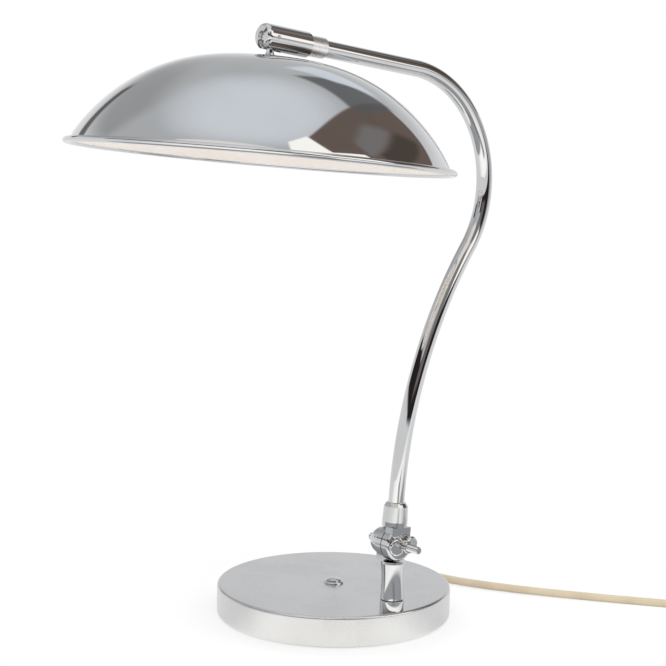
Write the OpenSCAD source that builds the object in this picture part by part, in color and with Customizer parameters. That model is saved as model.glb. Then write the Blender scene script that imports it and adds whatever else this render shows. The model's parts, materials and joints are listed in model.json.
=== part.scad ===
// Desk lamp with a spun dome shade on a bent arm, over a round weighted base.
// Millimetres, +Z up, origin on the table under the middle of the base. The arm lies in a plane
// parallel to XZ through the column, with the shade on its -X side.

/* [Base] */
// Radius of the round base
base_r = 100; // [88:1:115]
// Height of the base over the table, felt included
base_h = 26; // [24:0.5:32]
// Sheet thickness of the base cover
cover_t = 1.2; // [0.8:0.1:1.6]
// Rounding of the cover's upper edge
shoulder_r = 2.2; // [1.8:0.1:4]
// Rounding where the cover turns under
foot_r = 2.5; // [2:0.1:3.5]
// Thickness of the felt under the base
felt_t = 1.5; // [1:0.1:2]
// Thickness of the bottom plate
plate_t = 1.6; // [1.2:0.1:2]
// Thickness of the cast ballast
weight_t = 13; // [10:0.5:14]
// Radius of each screw in the bottom plate
base_screw_r = 2; // [1.5:0.1:2.5]

/* [Switch] */
// Radius of the push button
button_r = 5.9; // [5:0.1:6.5]
// How far the button stands over its bezel
button_rise = 2.6; // [2.2:0.1:3.5]
// Travel of the button
button_travel = 2; // [1.5:0.1:2.2]
// Wall of the bezel's threaded bush
bush_wall = 1.2; // [1:0.1:1.6]
// Height of the bezel over the base
bezel_h = 1.6; // [1.2:0.1:2.4]
// Radius of the switch housing
switch_r = 9.5; // [9:0.1:11]
// Height of the switch housing
switch_h = 11; // [9:0.5:12]

/* [Column] */
// Bearing of the column round the base
column_bearing = -97; // [-130:1:-60]
// Radius of the column at both ends
column_r = 9.8; // [9.4:0.1:11]
// How far the column draws in at its waist
waist = 1; // [0.6:0.1:1.2]
// Height of the fixed boss under the swivel
boss_h = 8; // [6:0.5:10]
// Thickness of the swivel washer
washer_t = 0.8; // [0.5:0.1:1.2]
// Radius of the hollow pivot pipe
pipe_r = 5; // [4.6:0.1:5.2]
// Wall of the pivot pipe
pipe_wall = 1.2; // [1:0.1:1.4]
// Swivel of the column each way from rest
swivel_turn = 165; // [120:5:168]
// Radius of the swivel's stop pin
stop_r = 1.1; // [0.9:0.1:1.2]

/* [Tilting joint] */
// Height of the joint's axis over the base
hinge_h = 55; // [52:0.5:70]
// Radius of the two round lugs
lug_r = 13.5; // [12.5:0.5:15]
// Thickness of each lug
lug_t = 8.6; // [7:0.2:9.2]
// Thickness of the friction washer between the lugs
friction_t = 0.8; // [0.6:0.1:1.2]
// Radius of the clamping stud
stud_r = 3; // [2.6:0.1:3.4]
// Length of stud behind the rear nut
stud_tail = 6; // [4:1:12]
// Length of stud in front of the wing nut
stud_tip = 12; // [6:1:16]
// Radius of the arm's socket
socket_r = 10.2; // [10:0.1:12]
// Depth to which the arm goes into its socket
socket_depth = 17.5; // [14:0.5:22]

/* [Wing nut] */
// Length of the wing nut's hub
hub_l = 8.8; // [8:0.2:11]
// Radius of the hub where it clamps
hub_r = 7; // [6:0.1:8]
// Radius of each wing
wing_r = 7; // [5.5:0.1:7.4]
// Thickness of each wing
wing_t = 3; // [2.4:0.1:3.6]
// How far the wings lean back towards the lugs
wing_lean = 8; // [0:1:10]

/* [Arm] */
// Outer radius of the arm tube
tube_r = 6.5; // [6:0.1:7]
// Wall of the arm tube
tube_wall = 1; // [0.8:0.1:1.4]
// Lean of the arm at the joint
arm_lean = 4.2; // [0:0.1:8]
// Straight foot of the arm, measured from the joint's axis
foot_l = 39; // [36:1:60]
// Radius of the long sweep
sweep_r = 390; // [330:5:440]
// Turn of the long sweep
sweep_a = 31.5; // [26:0.5:34]
// Radius of the upper bend
bend_r = 90.5; // [80:0.5:105]
// Turn of the upper bend
bend_a = 118.9; // [112:0.1:122]
// Straight top of the arm, from the bend to the ball
top_l = 144; // [130:1:170]

/* [Shade swivel] */
// Outer radius of the swivel sleeve
sleeve_r = 9.5; // [9.2:0.1:10.5]
// Length of sleeve behind the ball
sleeve_back = 33; // [31:1:42]
// Radius of the ball
ball_r = 7.5; // [7.2:0.1:8]
// Radius of the stem under the ball
stem_r = 3; // [2.6:0.1:3.2]
// Distance from the ball's centre to the top of the shade
stem_l = 14.4; // [14:0.2:20]
// Length of the collar on the arm
collar_l = 16; // [12:1:22]
// Radius of the collar
collar_r = 7.9; // [7.8:0.1:8.6]

/* [Shade] */
// Radius of the dome at its rim
dome_r = 139.5; // [120:0.5:160]
// Depth of the dome
dome_h = 73; // [71:1:90]
// How flat the dome's crown is
crown = 2.55; // [2.2:0.05:3]
// How steep the dome's flank is
flank = 1.2; // [1:0.05:1.4]
// Sheet thickness of the shade
shade_t = 1; // [0.8:0.1:1.4]
// Radius of the rolled rim
rim_r = 3.1; // [2.4:0.1:4]
// Lean of the shade at rest
shade_lean = 5.2; // [0:0.1:8]

/* [Lampholder] */
// Radius of the lampholder
holder_r = 19.5; // [18.5:0.5:21]
// Height of the lampholder's lower part
holder_h = 30; // [28:1:34]
// Radius of the bulb's screw thread
thread_r = 13.4; // [13:0.1:13.8]
// Length of the bulb's screw thread
thread_l = 20; // [18:1:22]

/* [Cord] */
// Bearing of the cord outlet round the base
outlet_bearing = 75; // [60:1:100]
// Height of the cord outlet's centre over the table
outlet_z = 10; // [9.5:0.5:11]
// Length of the strain relief outside the base
relief_l = 20; // [20:1:30]
// Radius of the cord
cord_r = 3.5; // [3:0.1:3.8]

/* [Hidden] */
// Piece names

$fn = 96;

// Clearances
run_gap = 0.05;     // running fits, on the radius
free_gap = 0.6;     // between pieces that swing past each other
slip_gap = 0.3;     // pieces that drop into place
tiny = 0.01;        // overshoot of a cut past a face

// Base levels and radii
plate_z = felt_t;
weight_z = plate_z + plate_t;
weight_top = weight_z + weight_t;
ceiling_z = base_h - cover_t;
cover_lift = 0.8;
plate_r = base_r - foot_r - 0.2;
felt_r = plate_r - 1.5;
weight_r = plate_r - slip_gap;
well_r = switch_r + 4;
pad_r = 10;
pad_at = (well_r + weight_r) / 2;
pad_bearings = [-20, 140, 215];
screw_bearings = [10, 125, 240];
screw_at = weight_r - 20;
screw_l = 9;

// Switch
bush_r = button_r + slip_gap + bush_wall;
bezel_r = bush_r + 1.2;
bush_l = 7;
nut_t = 2.6;
switch_nut_r = bush_r + 3;
switch_top = ceiling_z - bush_l;

// Column
column_at = base_r - shoulder_r - 0.5 - column_r;
column_x = column_at * cos(column_bearing);
column_y = column_at * sin(column_bearing);
hinge_z = base_h + hinge_h;
boss_top = base_h + boss_h;
column_z = boss_top + washer_t;
lug_face = friction_t / 2;
lug_back = lug_face + lug_t;
knuckle_gap = lug_r + free_gap;
head_z = hinge_z - knuckle_gap - 2;
spigot_l = 6;
pivot_l = 12;
pipe_ring_t = 3.5;
pipe_ring_r = pipe_r + 2;
chamber_r = pipe_ring_r + slip_gap;
pipe_top = column_z + pivot_l + pipe_ring_t + 1;
pipe_nut_t = 4;
pipe_nut_r = pipe_r + 3.4;
pipe_washer_t = 1.2;
pipe_end = ceiling_z - pipe_washer_t - pipe_nut_t - 2;
notch_r = pipe_nut_r + 3;
track_r = (pipe_r + column_r) / 2;
track_depth = 2;

// Leads inside the base
lead_r = 2.8;
channel_w = 23;
column_channel_w = 12;
channel_floor = outlet_z - lead_r - 1;
port_depth = 3;
clamp_w = channel_w - 4;
clamp_l = 12;
clamp_h = outlet_z - weight_z + lead_r + 2.5;
clamp_screw_r = 1.6;
bush_back = base_r - cover_t - 3.25;
clamp_at = bush_back - 33.5;
lead_top = head_z - spigot_l - 1;

// Tilting joint
stud_nut_r = lug_r - 1.9;
nut_skirt = 2;
nut_dome_r = stud_nut_r - 0.3;
nut_end_r = stud_r + 1;
stud_nut_t = nut_skirt + sqrt(nut_dome_r * nut_dome_r - nut_end_r * nut_end_r);
lock_t = 1.2;
lock_r = hub_r + 0.8;
stud_back = lug_back + stud_nut_t + stud_tail;
stud_front = lug_back + lock_t + hub_l + stud_tip;
socket_z = knuckle_gap;
socket_top = socket_z + 2 + socket_depth;
tube_z = socket_top - socket_depth;
bend_thin = 0.02;
bend_lap = 0.5;

// Arm path in the plane of the arm, from the joint's axis: x, z and heading from +Z
function ahead(p, l) = [p.x + l * sin(p.z), p.y + l * cos(p.z), p.z];
function right_of(p, r) = [p.x + r * cos(p.z), p.y - r * sin(p.z)];
function turned(p, r, a) =
    let (c = right_of(p, r), h = p.z + a * sign(r))
    [c.x - r * cos(h), c.y + r * sin(h), h];
arm_a = ahead([0, 0, arm_lean], foot_l);
arm_b = turned(arm_a, sweep_r, sweep_a);
arm_c = turned(arm_b, -bend_r, bend_a);
arm_d = ahead(arm_c, top_l);

// Shade swivel, along the sleeve from the ball's centre
sleeve_tip = sleeve_r;
seat_back = 13;
journal_l = sleeve_back - seat_back - 5;
journal_r = ball_r;
groove_at = -sleeve_back + journal_l / 2;
groove_w = 3;
groove_d = 1;
slot_w = 2 * stem_r + 1;
slot_back = 6;
flange_t = 1.6;
flange_r = 5.8;
nipple_r = 4.6;
stem_bore = 1.9;
pivot_r = 1.6;
pivot_in = 3.6;
shade_nut_t = 3;
shade_nut_r = nipple_r + 3.8;
bead_r = dome_r + 1.6;

// Lampholder, down from the top of the shade
cap_z = shade_t + shade_nut_t;
cap_h = 15;
holder_z = cap_z + cap_h;
holder_wall = 2.4;
block_t = 5;
shell_t = 0.8;
shell_z = holder_z + block_t;
nipple_end = cap_z + 8;

// Cord: where it runs on the table, from the strain relief to the coil
relief_end = base_r + relief_l;
coil_x = 308.5;
coil_y = -183;
coil_in = 33;
coil_out = 47;
tie_t = 0.8;
tie_w = 8;
tie_slack = 0.4;
coil_z = tie_t;
coil_h = 21;
route = [
    [36, 127.5, 8.4], [45, 135.5, 6], [57, 139.5, 4.3], [70, 139, 3.5], [83, 134, 3.5],
    [95, 125, 3.5], [106, 112.5, 3.5], [115, 97, 3.5], [122.5, 79, 3.5], [129, 59, 3.5],
    [134, 39, 3.5], [137.5, 20, 3.5], [141, 5, 3.5], [146, -10, 3.5], [157, -34, 3.5],
    [170, -58, 3.5], [185, -82, 3.5], [200, -105, 3.5], [215, -127, 3.5], [231, -149, 3.5],
    [246, -170, 3.5], [260, -190, 3.9], [273.4, -208.4, 4.3]
];
tail_r = 40;
tail_from = 227;
tail_sweep = 70;
tail_z = coil_z + coil_h - cord_r;
plug_t = 14;
plug_l = 34;
plug_w = 26;
plug_nose_w = 31;
plug_z = coil_z + coil_h + plug_t / 2;
pin_r = 2;
pin_l = 19;
pin_gap = 19;

// ---------- shared shapes ----------

// Points of an arc, both ends included
function arc(c, r, from, to, n = 8) =
    [for (i = [0 : n]) c + r * [cos(from + (to - from) * i / n), sin(from + (to - from) * i / n)]];

// Round bar or tube of radius r, from z to z + l
module bar(r, l, z = 0) {
    translate([0, 0, z]) cylinder(r = r, h = l);
}

// Turned disc with a rounded upper edge
module turned_disc(r, l, edge) {
    rotate_extrude() polygon(concat([[0, 0], [r, 0]], arc([r - edge, l - edge], edge, 0, 90), [[0, l]]));
}

// Hexagon nut with a round hole, on z = 0
module hex_nut(r, l, hole) {
    difference() {
        cylinder(r = r, h = l, $fn = 6);
        bar(hole, l + 2 * tiny, -tiny);
    }
}

module at_column() {
    translate([column_x, column_y, 0]) children();
}

// At the tilting joint, with +Z along the stud towards the wing nut
module on_stud() {
    translate([column_x, column_y, hinge_z]) rotate([90, 0, 0]) children();
}

// At the tilting joint, leaning with the arm
module at_joint() {
    translate([column_x, column_y, hinge_z]) rotate([0, arm_lean, 0]) children();
}

module at_ball() {
    translate([column_x + arm_d.x, column_y, hinge_z + arm_d.y]) children();
}

// At the ball, with +Z out along the swivel sleeve
module along_sleeve() {
    at_ball() rotate([0, arm_d.z, 0]) children();
}

// At the top of the shade, with +Z up the shade's own axis
module on_shade() {
    at_ball() rotate([0, shade_lean, 0]) translate([0, 0, -stem_l]) children();
}

// Section of the arm's tube or of what fills it, as a flat ring
module arm_section(outer, inner) {
    difference() {
        circle(r = outer);
        if (inner > 0) circle(r = inner);
    }
}

// Bend from the angle from, through a, round centre c
module arm_bend(c, r, from, a, outer, inner) {
    translate([c.x, 0, c.y]) rotate([90, 0, 0]) rotate([0, 0, from])
        rotate_extrude(angle = a) translate([r, 0]) arm_section(outer, inner);
}

module arm_straight(p, l, outer, inner) {
    translate([p.x, 0, p.y]) rotate([0, p.z, 0]) linear_extrude(l) arm_section(outer, inner);
}

// Anything that follows the arm, from first along its foot to last before the ball. A bend is
// drawn a hair thinner than what it joins, and starts inside it, so that all is one solid.
module arm_run(outer, inner, first, last) {
    in_foot = bend_lap / sweep_r * 180 / PI;
    in_sweep = bend_lap / bend_r * 180 / PI;
    core = inner > 0 ? inner + bend_thin : 0;
    core2 = inner > 0 ? inner + 2 * bend_thin : 0;
    translate([column_x, column_y, hinge_z]) {
        arm_straight(ahead([0, 0, arm_lean], first), foot_l - first, outer, inner);
        arm_bend(right_of(arm_a, sweep_r), sweep_r, 180 - arm_b.z, sweep_a + in_foot,
            outer - bend_thin, core);
        arm_bend(right_of(arm_b, -bend_r), bend_r, -arm_b.z - in_sweep, bend_a + 2 * in_sweep,
            outer - 2 * bend_thin, core2);
        arm_straight(arm_c, top_l - last, outer, inner);
    }
}

// Round cord swept along points that never stand upright
module swept(points, r, sides = 8) {
    n = len(points);
    tangent = [for (i = [0 : n - 1])
        let (d = points[min(i + 1, n - 1)] - points[max(i - 1, 0)]) d / norm(d)];
    side = [for (t = tangent) let (s = cross(t, [0, 0, 1])) s / norm(s)];
    rings = [for (i = [0 : n - 1], k = [0 : sides - 1])
        points[i] + r * (cos(360 * k / sides) * side[i] + sin(360 * k / sides) * cross(side[i], tangent[i]))];
    walls = [for (i = [0 : n - 2], k = [0 : sides - 1])
        let (a = i * sides, j = (k + 1) % sides) [a + k, a + sides + k, a + sides + j, a + j]];
    first = [for (k = [0 : sides - 1]) k];
    last = [for (k = [sides - 1 : -1 : 0]) (n - 1) * sides + k];
    polyhedron(rings, concat([first], walls, [last]), convexity = 6);
}

// ---------- base ----------

module base_cover() {
    inner_shoulder = max(shoulder_r - cover_t, 0.2);
    inner_foot = foot_r - cover_t;
    outer = concat(
        arc([base_r - foot_r, cover_lift + foot_r], foot_r, -90, 0),
        arc([base_r - shoulder_r, base_h - shoulder_r], shoulder_r, 0, 90),
        [[0, base_h]]);
    inner = concat(
        [[0, ceiling_z]],
        arc([base_r - cover_t - inner_shoulder, ceiling_z - inner_shoulder], inner_shoulder, 90, 0),
        arc([base_r - foot_r, cover_lift + foot_r], inner_foot, 0, -90));
    color("silver") difference() {
        rotate_extrude() polygon(concat(outer, inner));
        bar(bush_r, cover_t + 2 * tiny, ceiling_z - tiny);
        at_column() bar(pipe_r, cover_t + 2 * tiny, ceiling_z - tiny);
        at_outlet() bar(cord_r + 1.6, 3 * foot_r, base_r - 2 * foot_r);
    }
}

// Iron casting: well for the switch, channels for the leads, three pads up to the cover
module base_weight() {
    color("dimgray") difference() {
        union() {
            bar(weight_r, weight_t, weight_z);
            for (b = pad_bearings) rotate([0, 0, b]) translate([pad_at, 0, weight_top - tiny])
                cylinder(r = pad_r, h = ceiling_z - weight_top + tiny);
        }
        bar(well_r, base_h, 0);
        rotate([0, 0, outlet_bearing]) translate([0, -channel_w / 2, 0]) cube([base_r, channel_w, base_h]);
        rotate([0, 0, column_bearing]) translate([0, -column_channel_w / 2, channel_floor])
            cube([column_at, column_channel_w, base_h]);
        at_column() bar(notch_r, base_h, channel_floor - 0.6);
        for (b = screw_bearings) rotate([0, 0, b]) translate([screw_at, 0, weight_z - tiny])
            cylinder(r = base_screw_r, h = screw_l - plate_t + tiny);
    }
}

module base_plate() {
    color("gray") difference() {
        bar(plate_r, plate_t, plate_z);
        for (b = screw_bearings) rotate([0, 0, b]) translate([screw_at, 0, plate_z]) screw_seat();
        for (s = [-1, 1]) clamp_place(s) bar(clamp_screw_r, plate_t + 2 * tiny, plate_z - tiny);
    }
}

module screw_seat() {
    translate([0, 0, -tiny]) cylinder(r1 = base_screw_r + plate_t + tiny, r2 = base_screw_r, h = plate_t + tiny);
    bar(base_screw_r, plate_t + tiny, 0);
}

module base_felt() {
    color("darkgreen") bar(felt_r, felt_t);
}

// Three countersunk screws that hold the plate to the ballast
module base_screws() {
    color("gray") for (b = screw_bearings) rotate([0, 0, b]) translate([screw_at, 0, plate_z]) {
        difference() {
            union() {
                cylinder(r1 = base_screw_r + plate_t, r2 = base_screw_r, h = plate_t);
                cylinder(r = base_screw_r, h = screw_l);
            }
            translate([-base_screw_r, -0.4, -tiny]) cube([2 * base_screw_r, 0.8, 0.7]);
        }
    }
}

// ---------- switch ----------

module switch_bezel() {
    color("gainsboro") difference() {
        union() {
            bar(bush_r, bush_l + cover_t, ceiling_z - bush_l);
            translate([0, 0, base_h]) turned_disc(bezel_r, bezel_h, bezel_h / 2);
        }
        bar(button_r + slip_gap, base_h, ceiling_z - bush_l - tiny);
    }
}

module switch_nut() {
    color("gray") translate([0, 0, ceiling_z - nut_t]) hex_nut(switch_nut_r, nut_t, bush_r);
}

module switch_body() {
    color("ivory") difference() {
        union() {
            bar(switch_r, switch_h, switch_top - switch_h);
            for (s = [-1, 1]) translate([s * switch_r / 2 - 0.4, -2, switch_top - switch_h - 1.5])
                cube([0.8, 4, 1.5 + tiny]);
        }
        at_outlet() bar(lead_r, port_depth + 1, switch_r - port_depth);
        at_lamp_lead() bar(lead_r, port_depth + 1, switch_r - port_depth);
    }
}

// Domed cap over a thin stem
module switch_button() {
    cap_top = base_h + bezel_h + button_rise;
    dome = 1.4;
    ball = (button_r * button_r + dome * dome) / (2 * dome);
    skirt = cap_top - dome - base_h + 3;
    color("gainsboro") union() {
        bar(button_r, skirt, base_h - 3);
        intersection() {
            translate([0, 0, cap_top - ball]) sphere(r = ball);
            bar(button_r, 3 * dome, cap_top - 2 * dome);
        }
        bar(2, base_h - 3 - switch_top - button_travel, switch_top + button_travel);
    }
}

// ---------- cord outlet and leads inside the base ----------

// +Z out along the cord outlet
module at_outlet() {
    rotate([0, 0, outlet_bearing]) translate([0, 0, outlet_z]) rotate([0, 90, 0]) children();
}

// Moulded bush: flange inside, neck in the wall, collar and long taper outside
module cord_bush() {
    neck = cord_r + 1.6;
    wall_in = bush_back + 3;
    profile = [
        [0, bush_back], [neck + 1.3, bush_back], [neck + 1.3, wall_in], [neck, wall_in],
        [neck, base_r + 0.25], [neck + 0.8, base_r + 0.25], [neck + 0.8, base_r + 2],
        [neck, base_r + 3], [cord_r + 0.5, relief_end], [0, relief_end]
    ];
    color("linen") at_outlet() rotate_extrude() polygon(profile);
}

module clamp_place(s) {
    rotate([0, 0, outlet_bearing]) translate([clamp_at, s * (clamp_w / 2 - 3.5), 0]) children();
}

// Bridge that grips the lead against the bottom plate
module cord_clamp() {
    color("ivory") difference() {
        rotate([0, 0, outlet_bearing]) translate([clamp_at - clamp_l / 2, -clamp_w / 2, weight_z])
            cube([clamp_l, clamp_w, clamp_h]);
        at_outlet() bar(lead_r, clamp_l + 1, clamp_at - clamp_l / 2 - 0.5);
        for (s = [-1, 1]) clamp_place(s) bar(clamp_screw_r, clamp_h + 2 * tiny, weight_z - tiny);
    }
}

module clamp_screws() {
    color("gray") for (s = [-1, 1]) clamp_place(s) {
        bar(clamp_screw_r, plate_t + clamp_h, plate_z);
        translate([0, 0, weight_z + clamp_h]) turned_disc(clamp_screw_r + 1.2, 1.6, 0.6);
    }
}

// +Z out from the switch towards the column
module at_lamp_lead() {
    rotate([0, 0, column_bearing]) translate([0, 0, outlet_z]) rotate([0, 90, 0]) children();
}

// Lead from the bush to the switch
module supply_lead() {
    start = switch_r - port_depth;
    color("white") at_outlet() bar(lead_r, bush_back - start, start);
}

// Lead from the switch, up the pivot pipe and into the column
module lamp_lead() {
    start = switch_r - port_depth;
    color("white") union() {
        at_lamp_lead() bar(lead_r, column_at - start, start);
        at_column() translate([0, 0, outlet_z]) sphere(r = lead_r);
        at_column() bar(lead_r, lead_top - outlet_z, outlet_z);
    }
}

// ---------- column ----------

// Fixed boss under the swivel, with the hole for the stop pin
module column_boss() {
    color("silver") at_column() difference() {
        translate([0, 0, base_h]) turned_disc(column_r, boss_h, 0.6);
        bar(pipe_r, boss_h + 2 * tiny, base_h - tiny);
        stop_place() bar(stop_r, 4 + tiny, boss_top - 4);
    }
}

// The stop pin sits on the far side of the pivot from the groove's ends
module stop_place() {
    translate([0, track_r, 0]) children();
}

module column_pipe() {
    color("gray") at_column() difference() {
        bar(pipe_r, pipe_top - pipe_end, pipe_end);
        bar(pipe_r - pipe_wall, pipe_top - pipe_end + 2 * tiny, pipe_end - tiny);
    }
}

module pipe_washer() {
    color("gray") at_column() difference() {
        bar(pipe_nut_r + 1, pipe_washer_t, ceiling_z - pipe_washer_t);
        bar(pipe_r, pipe_washer_t + 2 * tiny, ceiling_z - pipe_washer_t - tiny);
    }
}

module pipe_nut() {
    color("gray") at_column() translate([0, 0, ceiling_z - pipe_washer_t - pipe_nut_t])
        hex_nut(pipe_nut_r, pipe_nut_t, pipe_r);
}

// Keeps the column down on its boss
module pipe_ring() {
    color("gray") at_column() difference() {
        bar(pipe_ring_r, pipe_ring_t, column_z + pivot_l);
        bar(pipe_r, pipe_ring_t + 2 * tiny, column_z + pivot_l - tiny);
    }
}

module stop_pin() {
    color("gray") at_column() stop_place() bar(stop_r, 4 + washer_t + track_depth - 0.4, boss_top - 4);
}

module swivel_washer() {
    color("dimgray") at_column() difference() {
        bar(column_r - 0.4, washer_t, boss_top);
        bar(pipe_r, washer_t + 2 * tiny, boss_top - tiny);
        stop_place() bar(stop_r, washer_t + 2 * tiny, boss_top - tiny);
    }
}

// Waisted column: pivot bore below, chamber for the pipe's ring above, groove for the stop pin
module column() {
    h = head_z - column_z;
    steps = 16;
    side = [for (i = [0 : steps]) let (u = 2 * i / steps - 1) [column_r - waist * (1 - u * u), column_z + h * i / steps]];
    pin_angle = asin((stop_r + 0.1) / track_r);
    color("silver") at_column() difference() {
        rotate_extrude() polygon(concat([[0, column_z]], side, [[0, head_z]]));
        bar(pipe_r + run_gap, pivot_l + 2 * tiny, column_z - tiny);
        bar(chamber_r, h, column_z + pivot_l);
        translate([0, 0, column_z - tiny]) rotate([0, 0, 90 - swivel_turn - pin_angle])
            rotate_extrude(angle = 2 * (swivel_turn + pin_angle))
                translate([track_r - stop_r - 0.2, 0]) square([2 * stop_r + 0.4, track_depth + tiny]);
    }
}

// Upper end of the column, with the rear lug
module column_head() {
    neck_top = hinge_z - knuckle_gap;
    color("silver") difference() {
        union() {
            at_column() {
                bar(chamber_r, spigot_l + tiny, head_z - spigot_l);
                bar(column_r, neck_top - head_z, head_z);
            }
            translate([column_x - column_r, column_y + lug_face, neck_top - tiny])
                cube([2 * column_r, lug_t, knuckle_gap]);
            translate([column_x, column_y + lug_face, hinge_z]) rotate([-90, 0, 0]) lug();
        }
        on_stud() bar(stud_r, lug_t + 2 * tiny, -lug_back - tiny);
    }
}

// Round lug with a rounded outer edge, back face on z = 0
module lug() {
    turned_disc(lug_r, lug_t, 2.4);
}

// ---------- tilting joint ----------

module hinge_stud() {
    tip = 0.8;
    profile = [
        [0, -stud_back], [stud_r - tip, -stud_back], [stud_r, -stud_back + tip],
        [stud_r, stud_front - tip], [stud_r - tip, stud_front], [0, stud_front]
    ];
    color("silver") on_stud() rotate_extrude() polygon(profile);
}

module stud_nut() {
    lap = 0.5;
    color("silver") on_stud() translate([0, 0, -lug_back]) difference() {
        union() {
            bar(stud_nut_r, nut_skirt, -nut_skirt);
            intersection() {
                translate([0, 0, -nut_skirt]) sphere(r = nut_dome_r);
                bar(stud_nut_r + 1, stud_nut_t - nut_skirt + lap, -stud_nut_t);
            }
        }
        bar(stud_r, stud_nut_t + 2 * tiny, -stud_nut_t - tiny);
    }
}

module friction_washer() {
    color("dimgray") on_stud() difference() {
        bar(lug_r - 0.8, friction_t, -friction_t / 2);
        bar(stud_r, friction_t + 2 * tiny, -friction_t / 2 - tiny);
    }
}

// Star washer under the wing nut
module lock_washer() {
    teeth = 14;
    color("gray") on_stud() translate([0, 0, lug_back]) difference() {
        bar(lock_r, lock_t);
        bar(stud_r + run_gap, lock_t + 2 * tiny, -tiny);
        for (i = [0 : teeth - 1]) rotate([0, 0, 360 * i / teeth]) translate([lock_r, 0, -tiny])
            cylinder(r = 0.7, h = lock_t + 2 * tiny);
    }
}

// Cast wing nut: coned hub and two round wings swept forward
module wing_nut() {
    hub = [[0, 0], [hub_r, 0], [hub_r, 1.6], [hub_r - 1.8, 3.2], [hub_r - 2.2, hub_l - 0.6],
        [hub_r - 2.8, hub_l], [0, hub_l]];
    root = [0.6, 0, 2.4];
    color("gainsboro") on_stud() translate([0, 0, lug_back + lock_t]) difference() {
        union() {
            rotate_extrude() polygon(hub);
            for (a = [0, 180]) rotate([0, 0, a]) translate(root) rotate([0, wing_lean, 0]) wing();
        }
        bar(stud_r + run_gap, hub_l + wing_r + 2 * tiny, -tiny);
    }
}

// Round wing, thick at its root, with softened edges
module wing() {
    translate([wing_r, 0, 0]) rotate_extrude() polygon(concat(
        arc([wing_r - wing_t / 2, wing_t / 2], wing_t / 2, -90, 90), [[0, wing_t], [0, 0]]));
}

// ---------- arm ----------

// Front lug, and above it the round socket that takes the tube
module arm_socket() {
    top = socket_top;
    body = [
        [0, socket_z], [socket_r, socket_z], [socket_r + 0.2, socket_z + 4], [socket_r - 0.4, top - 3],
        [socket_r - 1.6, top - 1], [tube_r + 1.4, top], [0, top]
    ];
    color("silver") difference() {
        union() {
            at_joint() {
                rotate_extrude() polygon(body);
                translate([-column_r, -lug_back, 0]) cube([2 * column_r, lug_t, socket_z + tiny]);
                translate([0, -lug_face, 0]) rotate([90, 0, 0]) lug();
            }
        }
        at_joint() bar(tube_r, socket_depth + tiny, tube_z);
        on_stud() bar(stud_r + run_gap, lug_t + 2 * tiny, lug_face - tiny);
        at_joint() socket_screw_place() bar(1.5, socket_r, 0);
    }
}

module socket_screw_place() {
    translate([0, tube_r, socket_top - 8]) rotate([-90, 0, 0]) children();
}

// Grub screw at the back of the socket
module socket_screw() {
    color("gray") at_joint() socket_screw_place() difference() {
        bar(1.5, socket_r - tube_r - 0.6);
        translate([0, 0, socket_r - tube_r - 1.6]) cylinder(r = 0.8, h = 2, $fn = 6);
    }
}

module arm_tube() {
    color("silver") arm_run(tube_r, tube_r - tube_wall, tube_z, sleeve_back + 2);
}

module arm_lead() {
    color("white") arm_run(lead_r, 0, tube_z, sleeve_back - journal_l);
}

// Collar on the tube's end, with the journal that the sleeve turns on
module arm_collar() {
    back = -sleeve_back - collar_l;
    front = -sleeve_back + journal_l;
    profile = [
        [0, back], [collar_r - 0.8, back], [collar_r, back + 0.8], [collar_r, -sleeve_back - slip_gap],
        [journal_r, -sleeve_back - slip_gap],
        [journal_r, groove_at - groove_w / 2], [journal_r - groove_d, groove_at - groove_w / 2],
        [journal_r - groove_d, groove_at + groove_w / 2], [journal_r, groove_at + groove_w / 2],
        [journal_r, front], [0, front]
    ];
    color("silver") along_sleeve() difference() {
        rotate_extrude() polygon(profile);
        bar(tube_r, collar_l - 2 + tiny, back - tiny);
        bar(lead_r, sleeve_back + collar_l, back + collar_l - 2 - tiny);
    }
}

// ---------- shade swivel ----------

// Sleeve with a round seat for the ball and a slot that lets the stem swing out
module swivel_sleeve() {
    back = -sleeve_back;
    profile = concat(
        [[0, back], [sleeve_r - 0.5, back], [sleeve_r, back + 0.5]],
        arc([sleeve_r - 4, sleeve_tip - 4], 4, 0, 60, 6),
        [[0, sleeve_tip]]);
    color("silver") along_sleeve() difference() {
        rotate_extrude() polygon(profile);
        bar(ball_r + run_gap, sleeve_back + tiny, back - tiny);
        sphere(r = ball_r + run_gap);
        translate([-sleeve_r - 1, -slot_w / 2, -slot_back])
            cube([sleeve_r + 1, slot_w, slot_back + sleeve_tip + 1]);
        translate([0, 0, -slot_back]) rotate([0, -90, 0]) bar(slot_w / 2, sleeve_r + 1);
        rotate([90, 0, 0]) bar(pivot_r, 2 * sleeve_r + 2, -sleeve_r - 1);
        bar(slot_w / 2, sleeve_tip + 1, 0);
        sleeve_screw_place() bar(1.2, sleeve_r, 0);
    }
}

module sleeve_screw_place() {
    translate([0, journal_r - groove_d + 0.2, groove_at]) rotate([-90, 0, 0]) children();
}

// Grub screw whose end runs in the journal's groove
module sleeve_screw() {
    color("gray") along_sleeve() sleeve_screw_place() bar(1.2, sleeve_r - journal_r + groove_d - 0.7);
}

// Two pivot screws, one from each side, that the ball tilts on
module pivot_screws() {
    color("silver") along_sleeve() for (s = [-1, 1]) rotate([s * 90, 0, 0]) difference() {
        bar(pivot_r, sleeve_r - 0.3 - pivot_in, pivot_in);
        translate([-pivot_r, -0.3, sleeve_r - 0.9]) cube([2 * pivot_r, 0.6, 1]);
    }
}

// Cup that presses on the ball
module ball_seat() {
    color("ivory") along_sleeve() difference() {
        bar(ball_r + run_gap, seat_back - 4, -seat_back);
        sphere(r = ball_r + run_gap);
        bar(lead_r + 0.4, seat_back, -seat_back - tiny);
    }
}

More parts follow.
